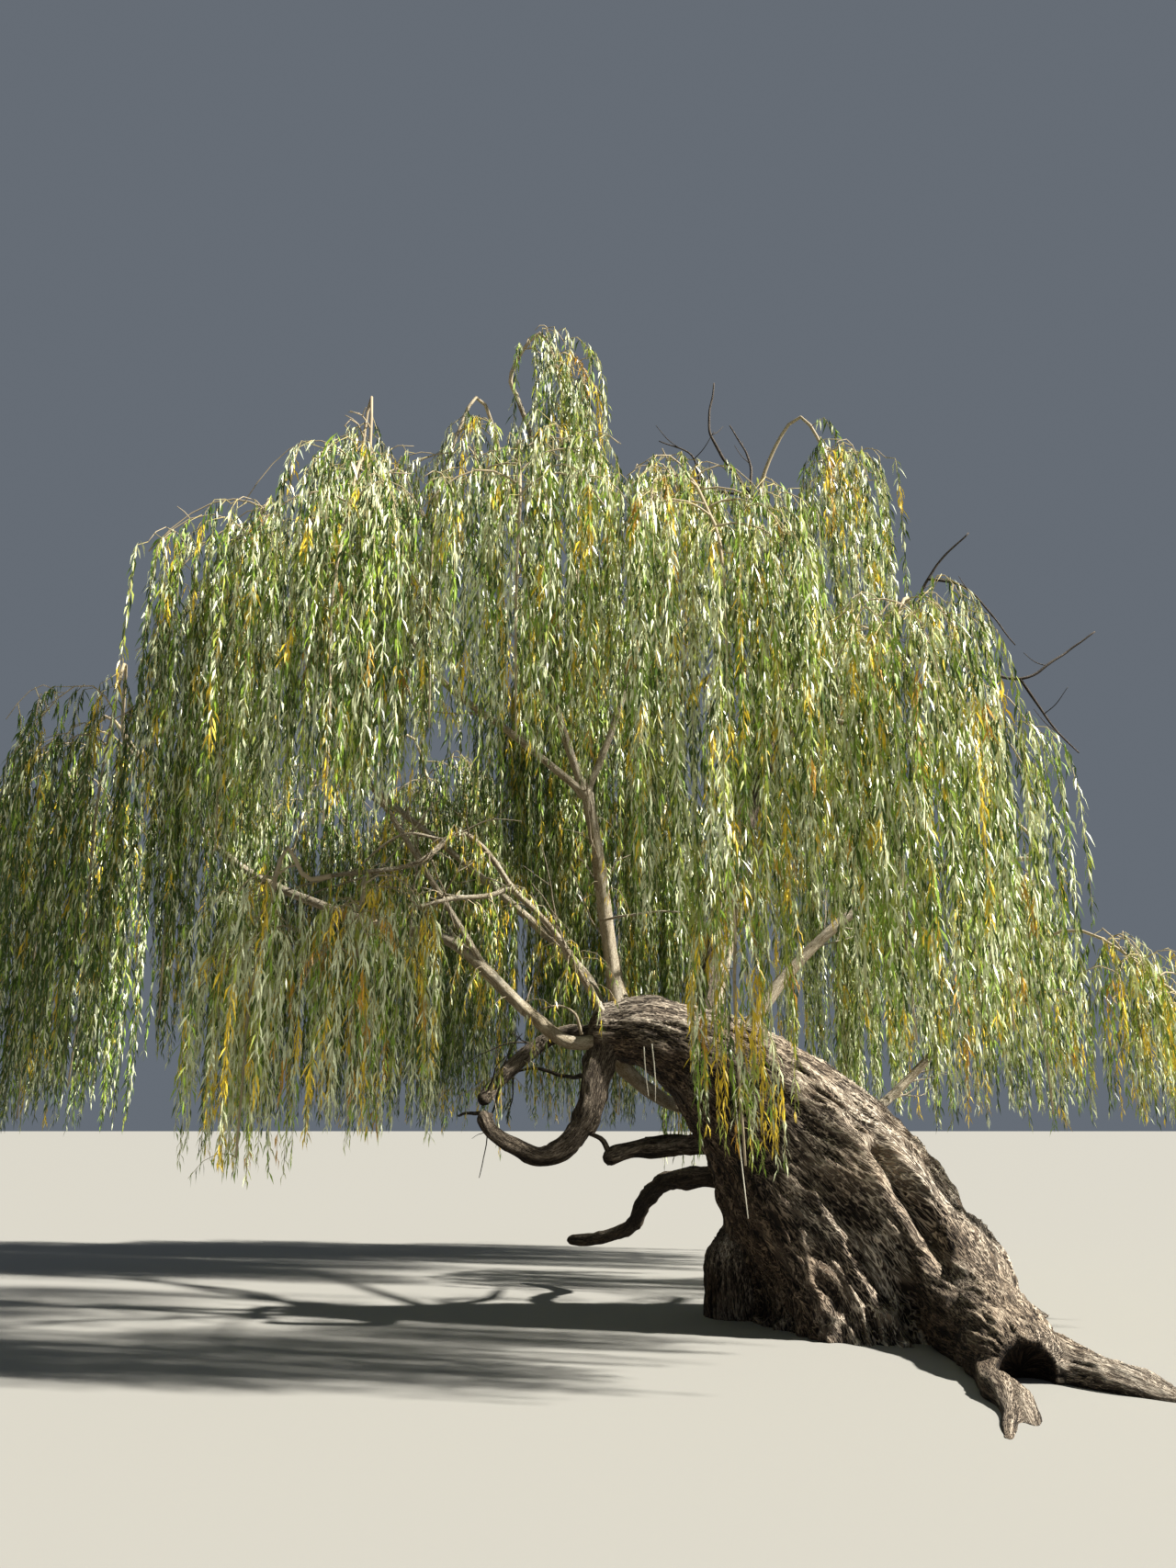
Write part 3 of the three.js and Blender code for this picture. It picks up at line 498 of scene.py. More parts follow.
# %% The trunk's large forms
FORMS = [  # points over the surface, half width, height (below 0 it is a groove)
    ([(-0.63, -0.3, 1.83), (-0.37, -0.39, 1.6), (-0.09, -0.45, 1.34), (0.13, -0.54, 1.02),
      (0.32, -0.71, 0.67), (0.4, -1.17, 0.37)], 0.1, 0.045),
    ([(-0.15, -0.53, 1.27), (-0.04, -0.6, 1.06), (0.12, -0.64, 0.75), (0.21, -0.93, 0.45),
      (0.26, -1.2, 0.3)], 0.075, -0.115),
    ([(-0.5, -0.51, 1.5), (-0.25, -0.56, 1.27), (-0.14, -0.63, 0.95), (0.07, -0.66, 0.63),
      (0.12, -0.88, 0.3)], 0.085, 0.05),
    ([(-0.66, -0.57, 1.15), (-0.45, -0.62, 0.87), (-0.32, -0.66, 0.57), (-0.15, -0.7, 0.31),
      (0.02, -0.74, 0.1)], 0.09, -0.085),
    ([(-0.62, -0.59, 0.95), (-0.51, -0.62, 0.75), (-0.33, -0.67, 0.45), (-0.18, -0.75, 0.17),
      (-0.1, -0.8, 0)], 0.055, 0.05),
    ([(-0.8, -0.55, 0.96), (-0.65, -0.59, 0.71), (-0.52, -0.65, 0.42), (-0.42, -0.73, 0.08)], 0.09,
      -0.06),
    ([(-0.86, -0.5, 0.93), (-0.84, -0.56, 0.9)], 0.045, 0.06),
    ([(-1.55, -0.25, 2.15), (-1.15, -0.38, 1.85), (-0.8, -0.48, 1.6)], 0.12, 0.03),
]
WORN_PATCHES = [  # centre, reach, how far the ridges are worn and to what height
    ((-0.25, -0.60, 1.15), 0.17, 0.7, 0.8),
    ((0.17, -1.20, 0.42), 0.20, 0.85, 0.5),
]
SWELLS = [(0.045, (1.6, 2.0, 1.1), 5), (0.022, 3.7, 9)]  # height, waves for each metre, shift of the noise
RELIEF_DEEP, RELIEF_FINE = 0.085, 0.030  # from furrow to ridge on the trunk and on a root
MIDDLE = 0.4  # the relief's height that stays on the skin
BLEND = 0.10  # over how many radii the grain changes from limb to limb
LEAST_WEIGHT = 0.01  # a limb with less say in a vertex's relief is left out
SETTLE_ROUNDS = 6


def relaxed(verts, edges, rounds):
    """Each vertex moves halfway to the middle of its neighbours."""
    count = np.bincount(edges.ravel(), minlength=len(verts))
    one, other = edges.T
    for _ in range(rounds):
        around = [np.bincount(one, axis[other], len(verts)) + np.bincount(other, axis[one], len(verts))
                  for axis in verts.T]
        verts = (verts + np.stack(around, axis=1) / count[:, None]) / 2
    return verts


verts = read_rows(melted.vertices, "co", 3).astype(float)
verts = relaxed(verts, read_rows(melted.edges, "vertices", 2, np.int32), SETTLE_ROUNDS)
place_vertices(melted, verts)
melted.update()
outward = normals_of(melted)

swell = sum(high * noise(verts * waves + shift) for high, waves, shift in SWELLS)
for path, width, rise in FORMS:
    line = spaced(path, 0.03)
    gap = in_chunks(lambda chunk: np.sqrt(((chunk[:, None] - line) ** 2).sum(-1).min(1)), verts)
    swell += rise * np.exp(-(gap / width) ** 2)

weights, girths, grains = [], [], []
for points, across, deep, _ in skeletons:
    run, angle, out = place_on(verts, points, across, deep)
    girths.append(np.interp(run, run_of(points), (across + deep) / 2))
    grains.append(grain_of(run, angle, girths[-1]))
    weights.append(np.exp(-out / BLEND) + 1e-12)
weights = np.array(weights) / np.sum(weights, axis=0)
relief = np.zeros(len(verts))
for number, (own_grain, weight) in enumerate(zip(grains, weights)):
    near = weight > LEAST_WEIGHT
    relief[near] += weight[near] * ridge_height(own_grain[near], shift=number * 13.7)
girth = (np.array(girths) * weights).sum(0)
grain = np.array(grains)[weights.argmax(0), np.arange(len(verts))]

for centre, reach, worn, height in WORN_PATCHES:
    calm = worn * np.exp(-(np.linalg.norm(verts - centre, axis=1) / reach) ** 2)
    relief += calm * (height - relief)
# painted shade in the hollow: its relief goes to 0, which gives it the furrow's near black and a smooth skin
# at furrow depth, and it keeps no lit side
hollow_shade = within_hollow(verts)
relief = relief * (1 - hollow_shade)
tall = np.interp(girth, [0.05, 0.2, 0.8], [0.35 * RELIEF_FINE, RELIEF_FINE, RELIEF_DEEP])
verts = verts + outward * (swell + tall * (relief - MIDDLE))[:, None]
print("relief from", round(float(relief.min()), 2), "to", round(float(relief.max()), 2))

# %% [markdown]
# ## The flat cut
# The tree stands on level ground, so everything below it is cut away after the bark is made. A cut made
# before would have moved with the bark. The open rim is closed with one flat face.

# %% Cutting the trunk at the ground
SHORTEST = 0.0006  # corners at the cut that lie closer than this become one
PATCHY, PATCH_SIZE = 0.35, 0.3  # how patchily the painted light and shade lie on the trunk, and over what distance
place_vertices(melted, verts)
# painted light and shade: the trunk keeps its colour where it faces the sun and darkens where it faces away
worn = worn_by_weather(outward + PATCHY * noise(verts / PATCH_SIZE)[:, None])
write_on_points(melted, relief=relief, grain=grain, worn=(1 - hollow_shade) * worn)
cutter = bmesh.new()
cutter.from_mesh(melted)
every = cutter.verts[:] + cutter.edges[:] + cutter.faces[:]
bmesh.ops.bisect_plane(cutter, geom=every, plane_co=(0, 0, 0), plane_no=(0, 0, -1), clear_outer=True)
bmesh.ops.remove_doubles(cutter, verts=[v for v in cutter.verts if v.co.z < SHORTEST], dist=SHORTEST)
rim = [e for e in cutter.edges if len(e.link_faces) == 1]
bmesh.ops.triangle_fill(cutter, use_beauty=True, use_dissolve=False, edges=rim, normal=(0, 0, -1))
bmesh.ops.triangulate(cutter, faces=[face for face in cutter.faces if len(face.verts) > 3])
bmesh.ops.delete(cutter, geom=[v for v in cutter.verts if not v.link_faces], context="VERTS")
for face in cutter.faces:
    face.smooth = True
cutter.to_mesh(melted)
open_edges = sum(1 for e in cutter.edges if len(e.link_faces) != 2)
print("trunk:", len(cutter.faces), "triangles, open edges:", open_edges)
cutter.free()
dress("bark_trunk", melted, [barks["trunk_bark"]], "trunk")

# %% [markdown]
# ## Boughs
# Each bough keeps the path and the radii of its solid. What makes it wood is what a lathe wouldn't give:
# a collar where it leaves its carrier, swellings where other limbs leave it, a slight wander of the girth,
# and bark. The heavy old boughs are as rough as the trunk, and the slender ones are pale and nearly smooth.

# %% The limbs
LIMBS = {  # path from the carrier outwards, first and last radius
    "bough_upright": ([(-2, 0.02, 2.12), (-2.07, -0.05, 2.73), (-2.2, -0.12, 3.7), (-2.27, -0.15, 4.06)],
        0.066, 0.046),
    "bough_crown_left": ([(-2.275, -0.152, 4.03), (-2.85, -0.3, 4.48), (-3.44, -0.5, 4.9),
        (-3.9, -0.7, 5.6)], 0.033, 0.021),
    "bough_crown_mid": ([(-2.28, -0.15, 4.04), (-2.47, -0.2, 4.6), (-2.68, -0.3, 5.45),
        (-2.86, -0.35, 6.4)], 0.037, 0.024),
    "bough_leader": ([(-2.64, -0.29, 5.3), (-2.58, -0.42, 6.25), (-2.7, -0.54, 6.95),
        (-2.86, -0.62, 7.42)], 0.026, 0.02),
    "bough_crown_right": ([(-2.268, -0.146, 4.04), (-2.14, -0.08, 4.35), (-1.9, 0.02, 5.1),
        (-1.65, 0, 6.05)], 0.032, 0.022),
    "bough_left_slender": ([(-2.09, -0.06, 2.18), (-2.25, -0.25, 2.46), (-2.53, -0.5, 2.88),
        (-2.84, -0.7, 3.17)], 0.03, 0.023),
    "bough_left_arch": ([(-2.82, -0.69, 3.155), (-3.04, -0.86, 3.44), (-3.2, -1, 3.51),
        (-3.48, -1.2, 3.25), (-4.05, -1.4, 3.12)], 0.022, 0.016),
    "bough_left_low": ([(-2.826, -0.694, 3.16), (-2.99, -0.76, 3.09), (-3.3, -0.87, 3.04),
        (-3.7, -1, 2.89)], 0.02, 0.016),
    "bough_left_thick": ([(-2.15, -0.06, 2.06), (-2.4, -0.1, 2.05), (-2.726, -0.08, 2.286),
        (-3.253, 0.08, 2.78), (-3.466, 0.15, 2.905), (-3.85, 0.3, 2.98)], 0.056, 0.042),
    "bough_left_far": ([(-3.835, 0.296, 2.978), (-4.51, 0.45, 3.21), (-5.3, 0.62, 3.6),
        (-6.35, 0.9, 4.64)], 0.041, 0.024),
    "bough_left_rise": ([(-3.06, 0.02, 2.615), (-3.37, 0, 3.1), (-3.9, -0.1, 3.92), (-4.65, -0.3, 4.95)],
        0.026, 0.02),
    "bough_hook_down": ([(-2.08, -0.02, 2.11), (-2.18, -0.09, 1.83), (-2.235, -0.15, 1.56),
        (-2.3, -0.19, 1.39)], 0.128, 0.092),
    "bough_hook_left": ([(-2.285, -0.185, 1.42), (-2.43, -0.24, 1.27), (-2.59, -0.285, 1.205),
        (-2.79, -0.3, 1.275), (-2.985, -0.3, 1.395), (-3.045, -0.285, 1.53)], 0.084, 0.05),
    "bough_back_low": ([(-2.14, 0.11, 2.14), (-2.54, 0.25, 2.1), (-2.8, 0.2, 1.915), (-2.98, 0.03, 1.72),
        (-3.06, -0.17, 1.6)], 0.062, 0.054),
    "bough_under_arch": ([(-2.12, 0.07, 2.05), (-1.93, 0.29, 1.83), (-1.66, 0.48, 1.63),
        (-1.43, 0.76, 1.56), (-1.2, 1.25, 1.7)], 0.075, 0.034),
    "stub_cut": ([(-1.3, 0.18, 1.3), (-1.68, 0.15, 1.25), (-1.89, 0.1, 1.24), (-2.13, 0.05, 1.17)],
        0.075, 0.06),
    "bough_droop": ([(-0.93, 0.33, 1.06), (-1.38, 0.56, 1.005), (-1.6, 0.82, 0.96), (-1.76, 1.15, 0.79),
        (-1.87, 1.45, 0.56), (-2.15, 1.75, 0.42), (-2.43, 2, 0.38)], 0.092, 0.044),
    "bough_right_rise": ([(-1.32, 0.09, 2.25), (-1.21, 0.15, 2.98), (-1, 0.2, 3.6), (-0.7, 0.2, 4.43),
        (-0.43, 0.15, 5.45)], 0.072, 0.042),
    "bough_top_right": ([(-0.434, 0.15, 5.43), (-0.365, 0.1, 5.95), (-0.47, 0.05, 6.38),
        (-0.64, 0, 6.7)], 0.038, 0.022),
    "bough_right_arm": ([(-0.7, 0.2, 4.42), (-0.35, 0.1, 4.74), (0.06, 0, 4.65), (0.5, -0.15, 4.45)],
        0.03, 0.02),
    "bough_veil": ([(-1.19, 0.15, 3.06), (-1.17, -0.25, 3.35), (-1.16, -0.7, 3.48),
        (-1.15, -1.05, 3.45)], 0.024, 0.017),
    "bough_right_far": ([(-1.02, 0.25, 2.08), (-0.62, 0.35, 2.6), (0, 0.4, 3.15), (0.7, 0.32, 3.5),
        (1.35, 0.2, 3.56)], 0.058, 0.026),
    "bough_right_low": ([(-0.35, 0.48, 1.3), (0.07, 0.62, 1.5), (0.45, 0.78, 1.78), (0.9, 0.7, 2.25)],
        0.052, 0.026),
    "bough_back_right": ([(-1.25, 0.25, 2.15), (-0.95, 1.1, 3.1), (-0.6, 1.7, 3.9), (-0.3, 2.25, 4.7)],
        0.06, 0.028),
    "bough_back_mid": ([(-1.93, 0.12, 2.2), (-2.1, 0.8, 3.1), (-2.2, 1.5, 4.1), (-2.25, 2.1, 5)], 0.06,
        0.028),
    "bough_back_left": ([(-2.12, 0.09, 2.22), (-2.3, 0.9, 2.7), (-3.3, 1.7, 3.7), (-4.4, 2.15, 4.65)],
        0.048, 0.026),
}
ROUGH_LIMBS = ["bough_hook_down", "bough_hook_left", "bough_back_low", "stub_cut", "bough_droop",
               "bough_right_rise"]
TWIGGY_LIMBS = ["bough_upright", "bough_crown_left", "bough_crown_mid", "bough_crown_right",
                "bough_left_slender", "bough_left_arch", "bough_left_low", "bough_left_thick",
                "bough_left_rise", "bough_back_low", "bough_right_arm", "bough_right_far",
                "bough_right_low"]
TWIGS_FROM, TWIGS_TO = 0.35, 0.97  # the part of a bough that bears bare twigs
TWIG_GAP, TWIG_LENGTH = 0.13, (0.25, 0.8)
TWIG_RADII, FORK_RADII = (0.0080, 0.0030), (0.0045, 0.0020)
TWIG_SEED = 60
LIMB_STEP = 0.02
LIMB_FOOT, LIMB_END = (0.6, 0.9), (0.95, 0.8, 0.42)  # how its first and last rings round it off
COLLAR, COLLAR_LENGTH = 0.5, 1.3  # the flare at a limb's foot and how many radii it fades over
KNOT, KNOT_LENGTH = 0.35, 1.8  # the same for the swelling where another limb leaves
# wander of the girth, its waves for each metre, scale and depth of the bark, and bumps
ROUGH_WOOD = (0.11, 6, 0.75, 0.28, 0.16)
SMOOTH_WOOD = (0.08, 3.1, 0.5, 0.08, 0.05)
CROOK_WAVES, CROOK_START = 4.5, 0.2  # a thin limb's bends for each metre, and where they are at full size
KNOBS, KNOB_WAVES, THIN_SCALE = 0.12, 9, 0.4  # its uneven girth, and the scale of its bark


def apart(one, other):
    return np.linalg.norm(np.array(one) - other)


def limb_shape(path, thick, thin, rough, seed):
    """A limb's tube, with its collar, knots and bark, and the height of its bark."""
    others = [limb for limb in LIMBS.values() if limb[0] is not path]
    carries_on = any(apart(other[-1], path[0]) < 2 * thick for other, _, _ in others)
    is_carried_on = any(apart(other[0], path[-1]) < 2 * thin for other, _, _ in others)
    wander, waves, scale, furrow, bumps = ROUGH_WOOD if rough else SMOOTH_WOOD
    inwards = unit(np.array(path[0]) - path[1])
    points = spaced([path[0] + 0.9 * thick * inwards, *path], LIMB_STEP)
    run = run_of(points)
    along_limb = np.column_stack([run, run * 0 + seed * 1.7, run * 0])
    girth = np.linspace(thick, thin, len(points))
    if not carries_on:
        girth = girth * (1 + COLLAR * np.exp(-run / (COLLAR_LENGTH * thick)))
        girth[:2] *= LIMB_FOOT
    girth = girth * (1 + wander * noise(along_limb * waves))
    for other, their_thick, _ in others:
        near = np.linalg.norm(points - np.array(other[0]), axis=1)
        if near.min() < thick and not is_carried_on:
            girth = girth + KNOT * their_thick * np.exp(-(near / (KNOT_LENGTH * their_thick)) ** 2)
    if not is_carried_on:
        girth[-3:] *= LIMB_END
    sides = 36 if thick > 0.09 else 28 if rough else 16 if thick > 0.03 else 12
    skin, _, angle, along = tube(points, girth, sides)
    ring_girth = np.repeat(girth, sides)
    grain = grain_of(along, angle, ring_girth)
    relief = ridge_height(grain, scale, seed * 3.1)
    uneven = 1 + bumps * noise(skin * 7 + seed)
    surface = (ring_girth * uneven + furrow * ring_girth * (relief - MIDDLE)).reshape(len(points), sides)
    verts, faces, _, _ = tube(points, surface, sides)
    return verts, faces, relief, grain


def bare_limb(path, thick, thin, seed, wander=0.012, step=0.04, sides=8):
    """A thin crooked limb."""
    points = spaced(path, step)
    run = run_of(points)
    sway = [noise(np.column_stack([run * CROOK_WAVES, run * 0 + seed, run * 0 + k * 9.1])) for k in range(3)]
    points = points + wander * np.minimum(run / CROOK_START, 1)[:, None] * np.stack(sway, axis=1)
    uneven = 1 + KNOBS * noise(np.column_stack([run * KNOB_WAVES, run * 0, run + seed]))
    radius = np.linspace(thick, thin, len(points)) * uneven
    verts, faces, angle, along = tube(points, radius, sides)
    grain = grain_of(along, angle, np.repeat(radius, sides))
    return verts, faces, ridge_height(grain, THIN_SCALE, seed), grain


def bare_twigs(path, seed):
    """Thin leafless twigs that stand on a bough's outer part and fork once."""
    rng = np.random.default_rng(seed + TWIG_SEED)
    points = spaced(path, 0.05)
    ahead = unit(np.gradient(points, axis=0))
    made = []
    for place in np.arange(TWIGS_FROM, TWIGS_TO, TWIG_GAP / run_of(points)[-1]):
        k = int(place * (len(points) - 1))
        way = unit(0.7 * ahead[k] + unit(rng.normal(size=3)) * (1, 1, 0.8) + (0, 0, 0.35))
        length = rng.uniform(*TWIG_LENGTH)
        bent = points[k] + way * length * 0.55
        end = bent + unit(way + (0, 0, rng.uniform(-0.6, 0.8))) * length * 0.45
        fork = bent + unit(way + 0.9 * rng.normal(size=3)) * length * 0.4
        made.append(bare_limb([points[k], bent, end], *TWIG_RADII, seed + place, 0.02, step=0.05, sides=4))
        side = [bent, (bent + fork) / 2, fork]
        made.append(bare_limb(side, *FORK_RADII, seed - place, 0.02, step=0.06, sides=3))
    return made


SIDE_LIMBS = {  # thin limbs that fork off: path, first and last radius
    "bough_hook_left": [([(-2.98, -0.28, 1.5), (-3.12, 0, 1.52), (-3.28, 0.3, 1.49)], 0.02, 0.01)],
    "bough_back_low": [([(-2.3, 0.2, 1.8), (-2.44, 0.5, 1.8), (-2.67, 0.6, 1.87), (-2.89, 0.7, 1.84)],
        0.02, 0.01)],
    "stub_cut": [([(-2.09, 0.05, 1.22), (-2.14, 0.05, 1.32), (-2.26, 0.05, 1.37)], 0.024, 0.016)],
    "bough_droop": [([(-1.2, 0.4, 1.22), (-1.52, 0.4, 1.32), (-1.79, 0.4, 1.3)], 0.042, 0.028)],
    "bough_left_arch": [
        ([(-3.3, -1.08, 3.45), (-3.56, -1.15, 3.47), (-3.78, -1.2, 3.33), (-3.95, -1.25, 3.1)], 0.012,
          0.006),
        ([(-3.47, -1.2, 3.25), (-3.5, -1.2, 2.88), (-3.47, -1.2, 2.5), (-3.27, -1.2, 2.12)], 0.009,
          0.004),
    ],
    "bough_left_thick": [([(-2.3, -0.22, 2.1), (-2.35, -0.3, 2.25), (-2.45, -0.32, 2.31),
        (-2.6, -0.34, 2.29)], 0.014, 0.006)],
    "bough_upright": [([(-2.15, -0.1, 3), (-1.8, -0.35, 3.02), (-1.35, -0.45, 3.02)], 0.011, 0.005)],
}


def dress_in_wood(node, parts, bark):
    """One piece of wood from its parts, with all that its bark's finish reads."""
    verts, faces, relief, grain = join_parts(parts)
    mesh = mesh_from("wood_" + node, verts, faces)
    # painted light and shade, as on the trunk: own colour facing the sun, darker facing away
    write_on_points(mesh, relief=relief, grain=grain, worn=worn_by_weather(normals_of(mesh)))
    dress(mesh.name, mesh, [barks[bark]], node)
    return len(faces)


def make_limb(node, seed):
    path, thick, thin = LIMBS[node]
    rough = node in ROUGH_LIMBS
    parts = [limb_shape(path, thick, thin, rough, seed)]
    for k, side in enumerate(SIDE_LIMBS.get(node, [])):
        parts.append(bare_limb(*side, seed + k, step=0.03, sides=10))
    if node in TWIGGY_LIMBS:
        parts += bare_twigs(path, seed)
    return dress_in_wood(node, parts, "rough_bough_bark" if rough else "pale_bough_bark")


print("boughs:", sum(make_limb(node, seed) for seed, node in enumerate(LIMBS)), "triangles")

# %% [markdown]
# ## Dead wood
# Two old spurs stand bare above the leaves, one at the top of the right bough and one on its arm. Dead wood
# loses its fine twigs first, so each is a thin crooked line with a few forks. Small side twigs are added
# in code at set shares of each line.

# %% Dead spurs
DEAD_LIMBS = {
    "dead_spur_top": [
        ([(-0.47, 0.052, 6.37), (-0.8, 0, 6.8), (-0.96, 0, 7.06), (-1.15, 0, 7.45), (-1.1, 0, 7.94)],
          0.024, 0.007),
        ([(-0.8, 0, 6.8), (-0.8, 0.06, 7.2), (-0.96, 0.09, 7.56)], 0.015, 0.006),
        ([(-0.8, 0, 6.8), (-1.25, -0.06, 6.83), (-1.6, -0.09, 6.7)], 0.018, 0.006),
        ([(-1.25, -0.06, 6.83), (-1.33, -0.09, 7.15), (-1.62, -0.12, 7.28)], 0.012, 0.005),
    ],
    "dead_spur_right": [
        ([(0.06, 0, 4.65), (0.5, 0.15, 5.25), (0.74, 0.1, 6.05), (1.1, 0, 6.45)], 0.025, 0.007),
        ([(0.74, 0.1, 6.05), (1, -0.06, 5.9), (1.38, -0.1, 5.35)], 0.013, 0.005),
        ([(0.56, 0.14, 5.45), (1.43, 0, 5.08), (1.77, -0.03, 5.27), (2.09, -0.06, 5.49)], 0.021, 0.007),
        ([(1.43, 0, 5.08), (1.69, 0.03, 4.65), (1.89, 0.06, 4.44)], 0.014, 0.006),
    ],
}
SPUR_SPANS = 20


def side_twig(path, share, length, heading, seed):
    """A thin crooked twig that leaves a limb at a share of its length."""
    start = spaced(path, spans=SPUR_SPANS)[int(share * SPUR_SPANS)]
    reach = np.array([math.cos(heading), math.sin(heading), 0.9]) * length
    path = [start, start + reach * (0.5, 0.5, 0.35), start + reach]
    return bare_limb(path, 0.005, 0.0025, seed, wander=0.006, step=0.03, sides=5)


for node, limbs in DEAD_LIMBS.items():
    parts = []
    for number, (path, thick, thin) in enumerate(limbs):
        parts.append(bare_limb(path, thick, thin, number + 3))
        for share, heading in ((0.45, 2.6), (0.7, 0.4)):
            parts.append(side_twig(path, share, 0.13 + 0.03 * number, heading + number, number + 20))
    print(node, "with", dress_in_wood(node, parts, "dead_wood"), "triangles")

# %% [markdown]
# ## Room for each mass of foliage
# A curtain of foliage hangs from each bough's tip, and no two share the same air. A point belongs to the
# mass whose heart is nearest, with heights counted at half, so that each mass is tall. This is the rule of
# the solids, so the fine growth fills the same room.

# %% The masses and their rooms
MASSES = {  # bough, end of the stem, its crest, the foot of the withies, the spread to either side
    "top": ("bough_leader", (-2.4, -0.8, 7), 7.96, 6.15, 0.26),
    "top_left": ("bough_crown_mid", (-3.42, -1, 6.45), 7.38, 4.2, 0.43),
    "front_centre": ("bough_crown_mid", (-2.7, -2.4, 5.5), 6.5, 3.7, 0.66),
    "crown_left": ("bough_crown_left", (-4.2, -0.5, 6.5), 7.45, 3.9, 0.52),
    "front_left": ("bough_crown_left", (-3.9, -2.35, 5.1), 6.25, 3.15, 0.7),
    "top_mid": ("bough_crown_right", (-1.5, -0.8, 6.3), 6.85, 4.5, 0.6),
    "front_right": ("bough_crown_right", (-1.4, -2.5, 5.2), 6.25, 2.4, 0.62),
    "shoulder_left": ("bough_left_rise", (-4.95, -1.05, 5.45), 6.4, 3.25, 0.6),
    "left": ("bough_left_rise", (-5.7, 0.25, 5.1), 6.15, 1.9, 0.6),
    "left_tip": ("bough_left_far", (-7.15, 1.15, 3.9), 5.1, 1.35, 0.58),
    "left_far": ("bough_left_far", (-6.1, -0.45, 4.3), 5.3, 1.6, 0.52),
    "low_left_front": ("bough_left_arch", (-4.43, -1.65, 2.5), 3.3, 1.13, 0.42),
    "low_left": ("bough_left_low", (-3.75, -1.85, 2.45), 3.1, 1.33, 0.4),
    "top_right": ("bough_top_right", (-0.08, -0.45, 6.6), 7.45, 5.05, 0.52),
    "front_far_right": ("bough_right_arm", (-0.25, -2.2, 4.5), 5.25, 1.85, 0.62),
    "right_front": ("bough_right_arm", (0.6, -1.35, 4), 4.72, 1.95, 0.38),
    "right_tip": ("bough_right_low", (2.33, -0.45, 2.3), 2.95, 1.45, 0.52),
    "right_back": ("bough_right_far", (1.55, 1.45, 3.2), 4, 1.5, 0.56),
    "back_right": ("bough_back_right", (0.45, 3.45, 4.2), 5.3, 1.45, 0.68),
    "inner_right": ("bough_back_right", (0.15, 1.35, 5.9), 6.7, 3.5, 0.6),
    "back": ("bough_back_mid", (-1.9, 4.05, 4.4), 5.65, 1.35, 0.83),
    "inner_back": ("bough_back_mid", (-2.4, 1.75, 6.3), 7.15, 3.2, 0.64),
    "back_left": ("bough_back_left", (-5.5, 3, 3.9), 5.1, 1.35, 0.7),
    "back_left_mid": ("bough_back_left", (-3.9, 3.7, 4.3), 5.5, 1.35, 0.78),
    "low_back": ("bough_under_arch", (-0.9, 2.25, 1.85), 2.5, 1, 0.48),
    "veil": ("bough_veil", (-1.25, -1.6, 2.9), 3.5, 1.08, 0.12),
    "low_right": ("bough_right_low", (1.25, -0.15, 2.35), 2.85, 1.4, 0.5),
}
STEM_RADIUS, STEM_END_RADIUS = 0.020, 0.007
STEM_GAP, STEM_SPANS = 0.008, 5
STEM_SINK, STEM_OUT = 0.012, 0.16  # how far a stem starts inside its bough's tip and then runs straight
FLATTENED = np.array([1, 1, 0.5])
ROOM_MARGIN = -0.03  # sprays of neighbouring masses mingle by this much


def stem_knots(mass):
    """The points that a mass's stem runs through. Stems that share a tip start side by side."""
    bough, end, crest, _, _ = MASSES[mass]
    path = spaced(LIMBS[bough][0], 0.2)
    tip, onward = path[-1], unit(path[-1] - path[-2])
    side = unit(np.cross(onward, (0, 0, 1)))
    sharers = [m for m in MASSES if MASSES[m][0] == bough]
    sharers.sort(key=lambda m: np.dot(MASSES[m][1], side))
    offset = (sharers.index(mass) - (len(sharers) - 1) / 2) * (2 * STEM_RADIUS + STEM_GAP)
    out = tip + onward * STEM_OUT + side * offset * 3
    top = (out + np.array(end)) / 2
    top[2] = crest
    return [tip - onward * STEM_SINK + side * offset, out, top, np.array(end)]


def heart_of(mass):
    _, end, crest, foot, _ = MASSES[mass]
    middle = (spaced(stem_knots(mass), spans=STEM_SPANS)[STEM_SPANS - 2] + end) / 2
    return np.array([middle[0], middle[1], (crest + foot) / 2]) * FLATTENED


HEARTS = {mass: heart_of(mass) for mass in MASSES}


def is_free(points, mass, margin=ROOM_MARGIN):
    """True for the points that lie in the mass's own room."""
    own = HEARTS[mass]
    others = np.array([heart for name, heart in HEARTS.items() if name != mass])
    flat = points * FLATTENED
    to_own = ((flat - own) ** 2).sum(-1)[..., None]
    to_others = ((flat[..., None, :] - others) ** 2).sum(-1)
    depth = (to_others - to_own) / (2 * np.linalg.norm(others - own, axis=1))
    return depth.min(-1) > margin


limb_points, limb_radii = [], []
for path, thick, thin in [*LIMBS.values(), *(limb for limbs in DEAD_LIMBS.values() for limb in limbs)]:
    line = spaced(path, 0.04)
    limb_points.append(line)
    limb_radii.append(np.linspace(thick, thin, len(line)))
for points, across, deep, _ in skeletons:
    limb_points.append(points)
    limb_radii.append(np.maximum(across, deep) * 1.08)
limb_points, limb_radii = np.concatenate(limb_points), np.concatenate(limb_radii)
print("rooms for", len(HEARTS), "masses,", len(limb_points), "points of wood to keep clear of")


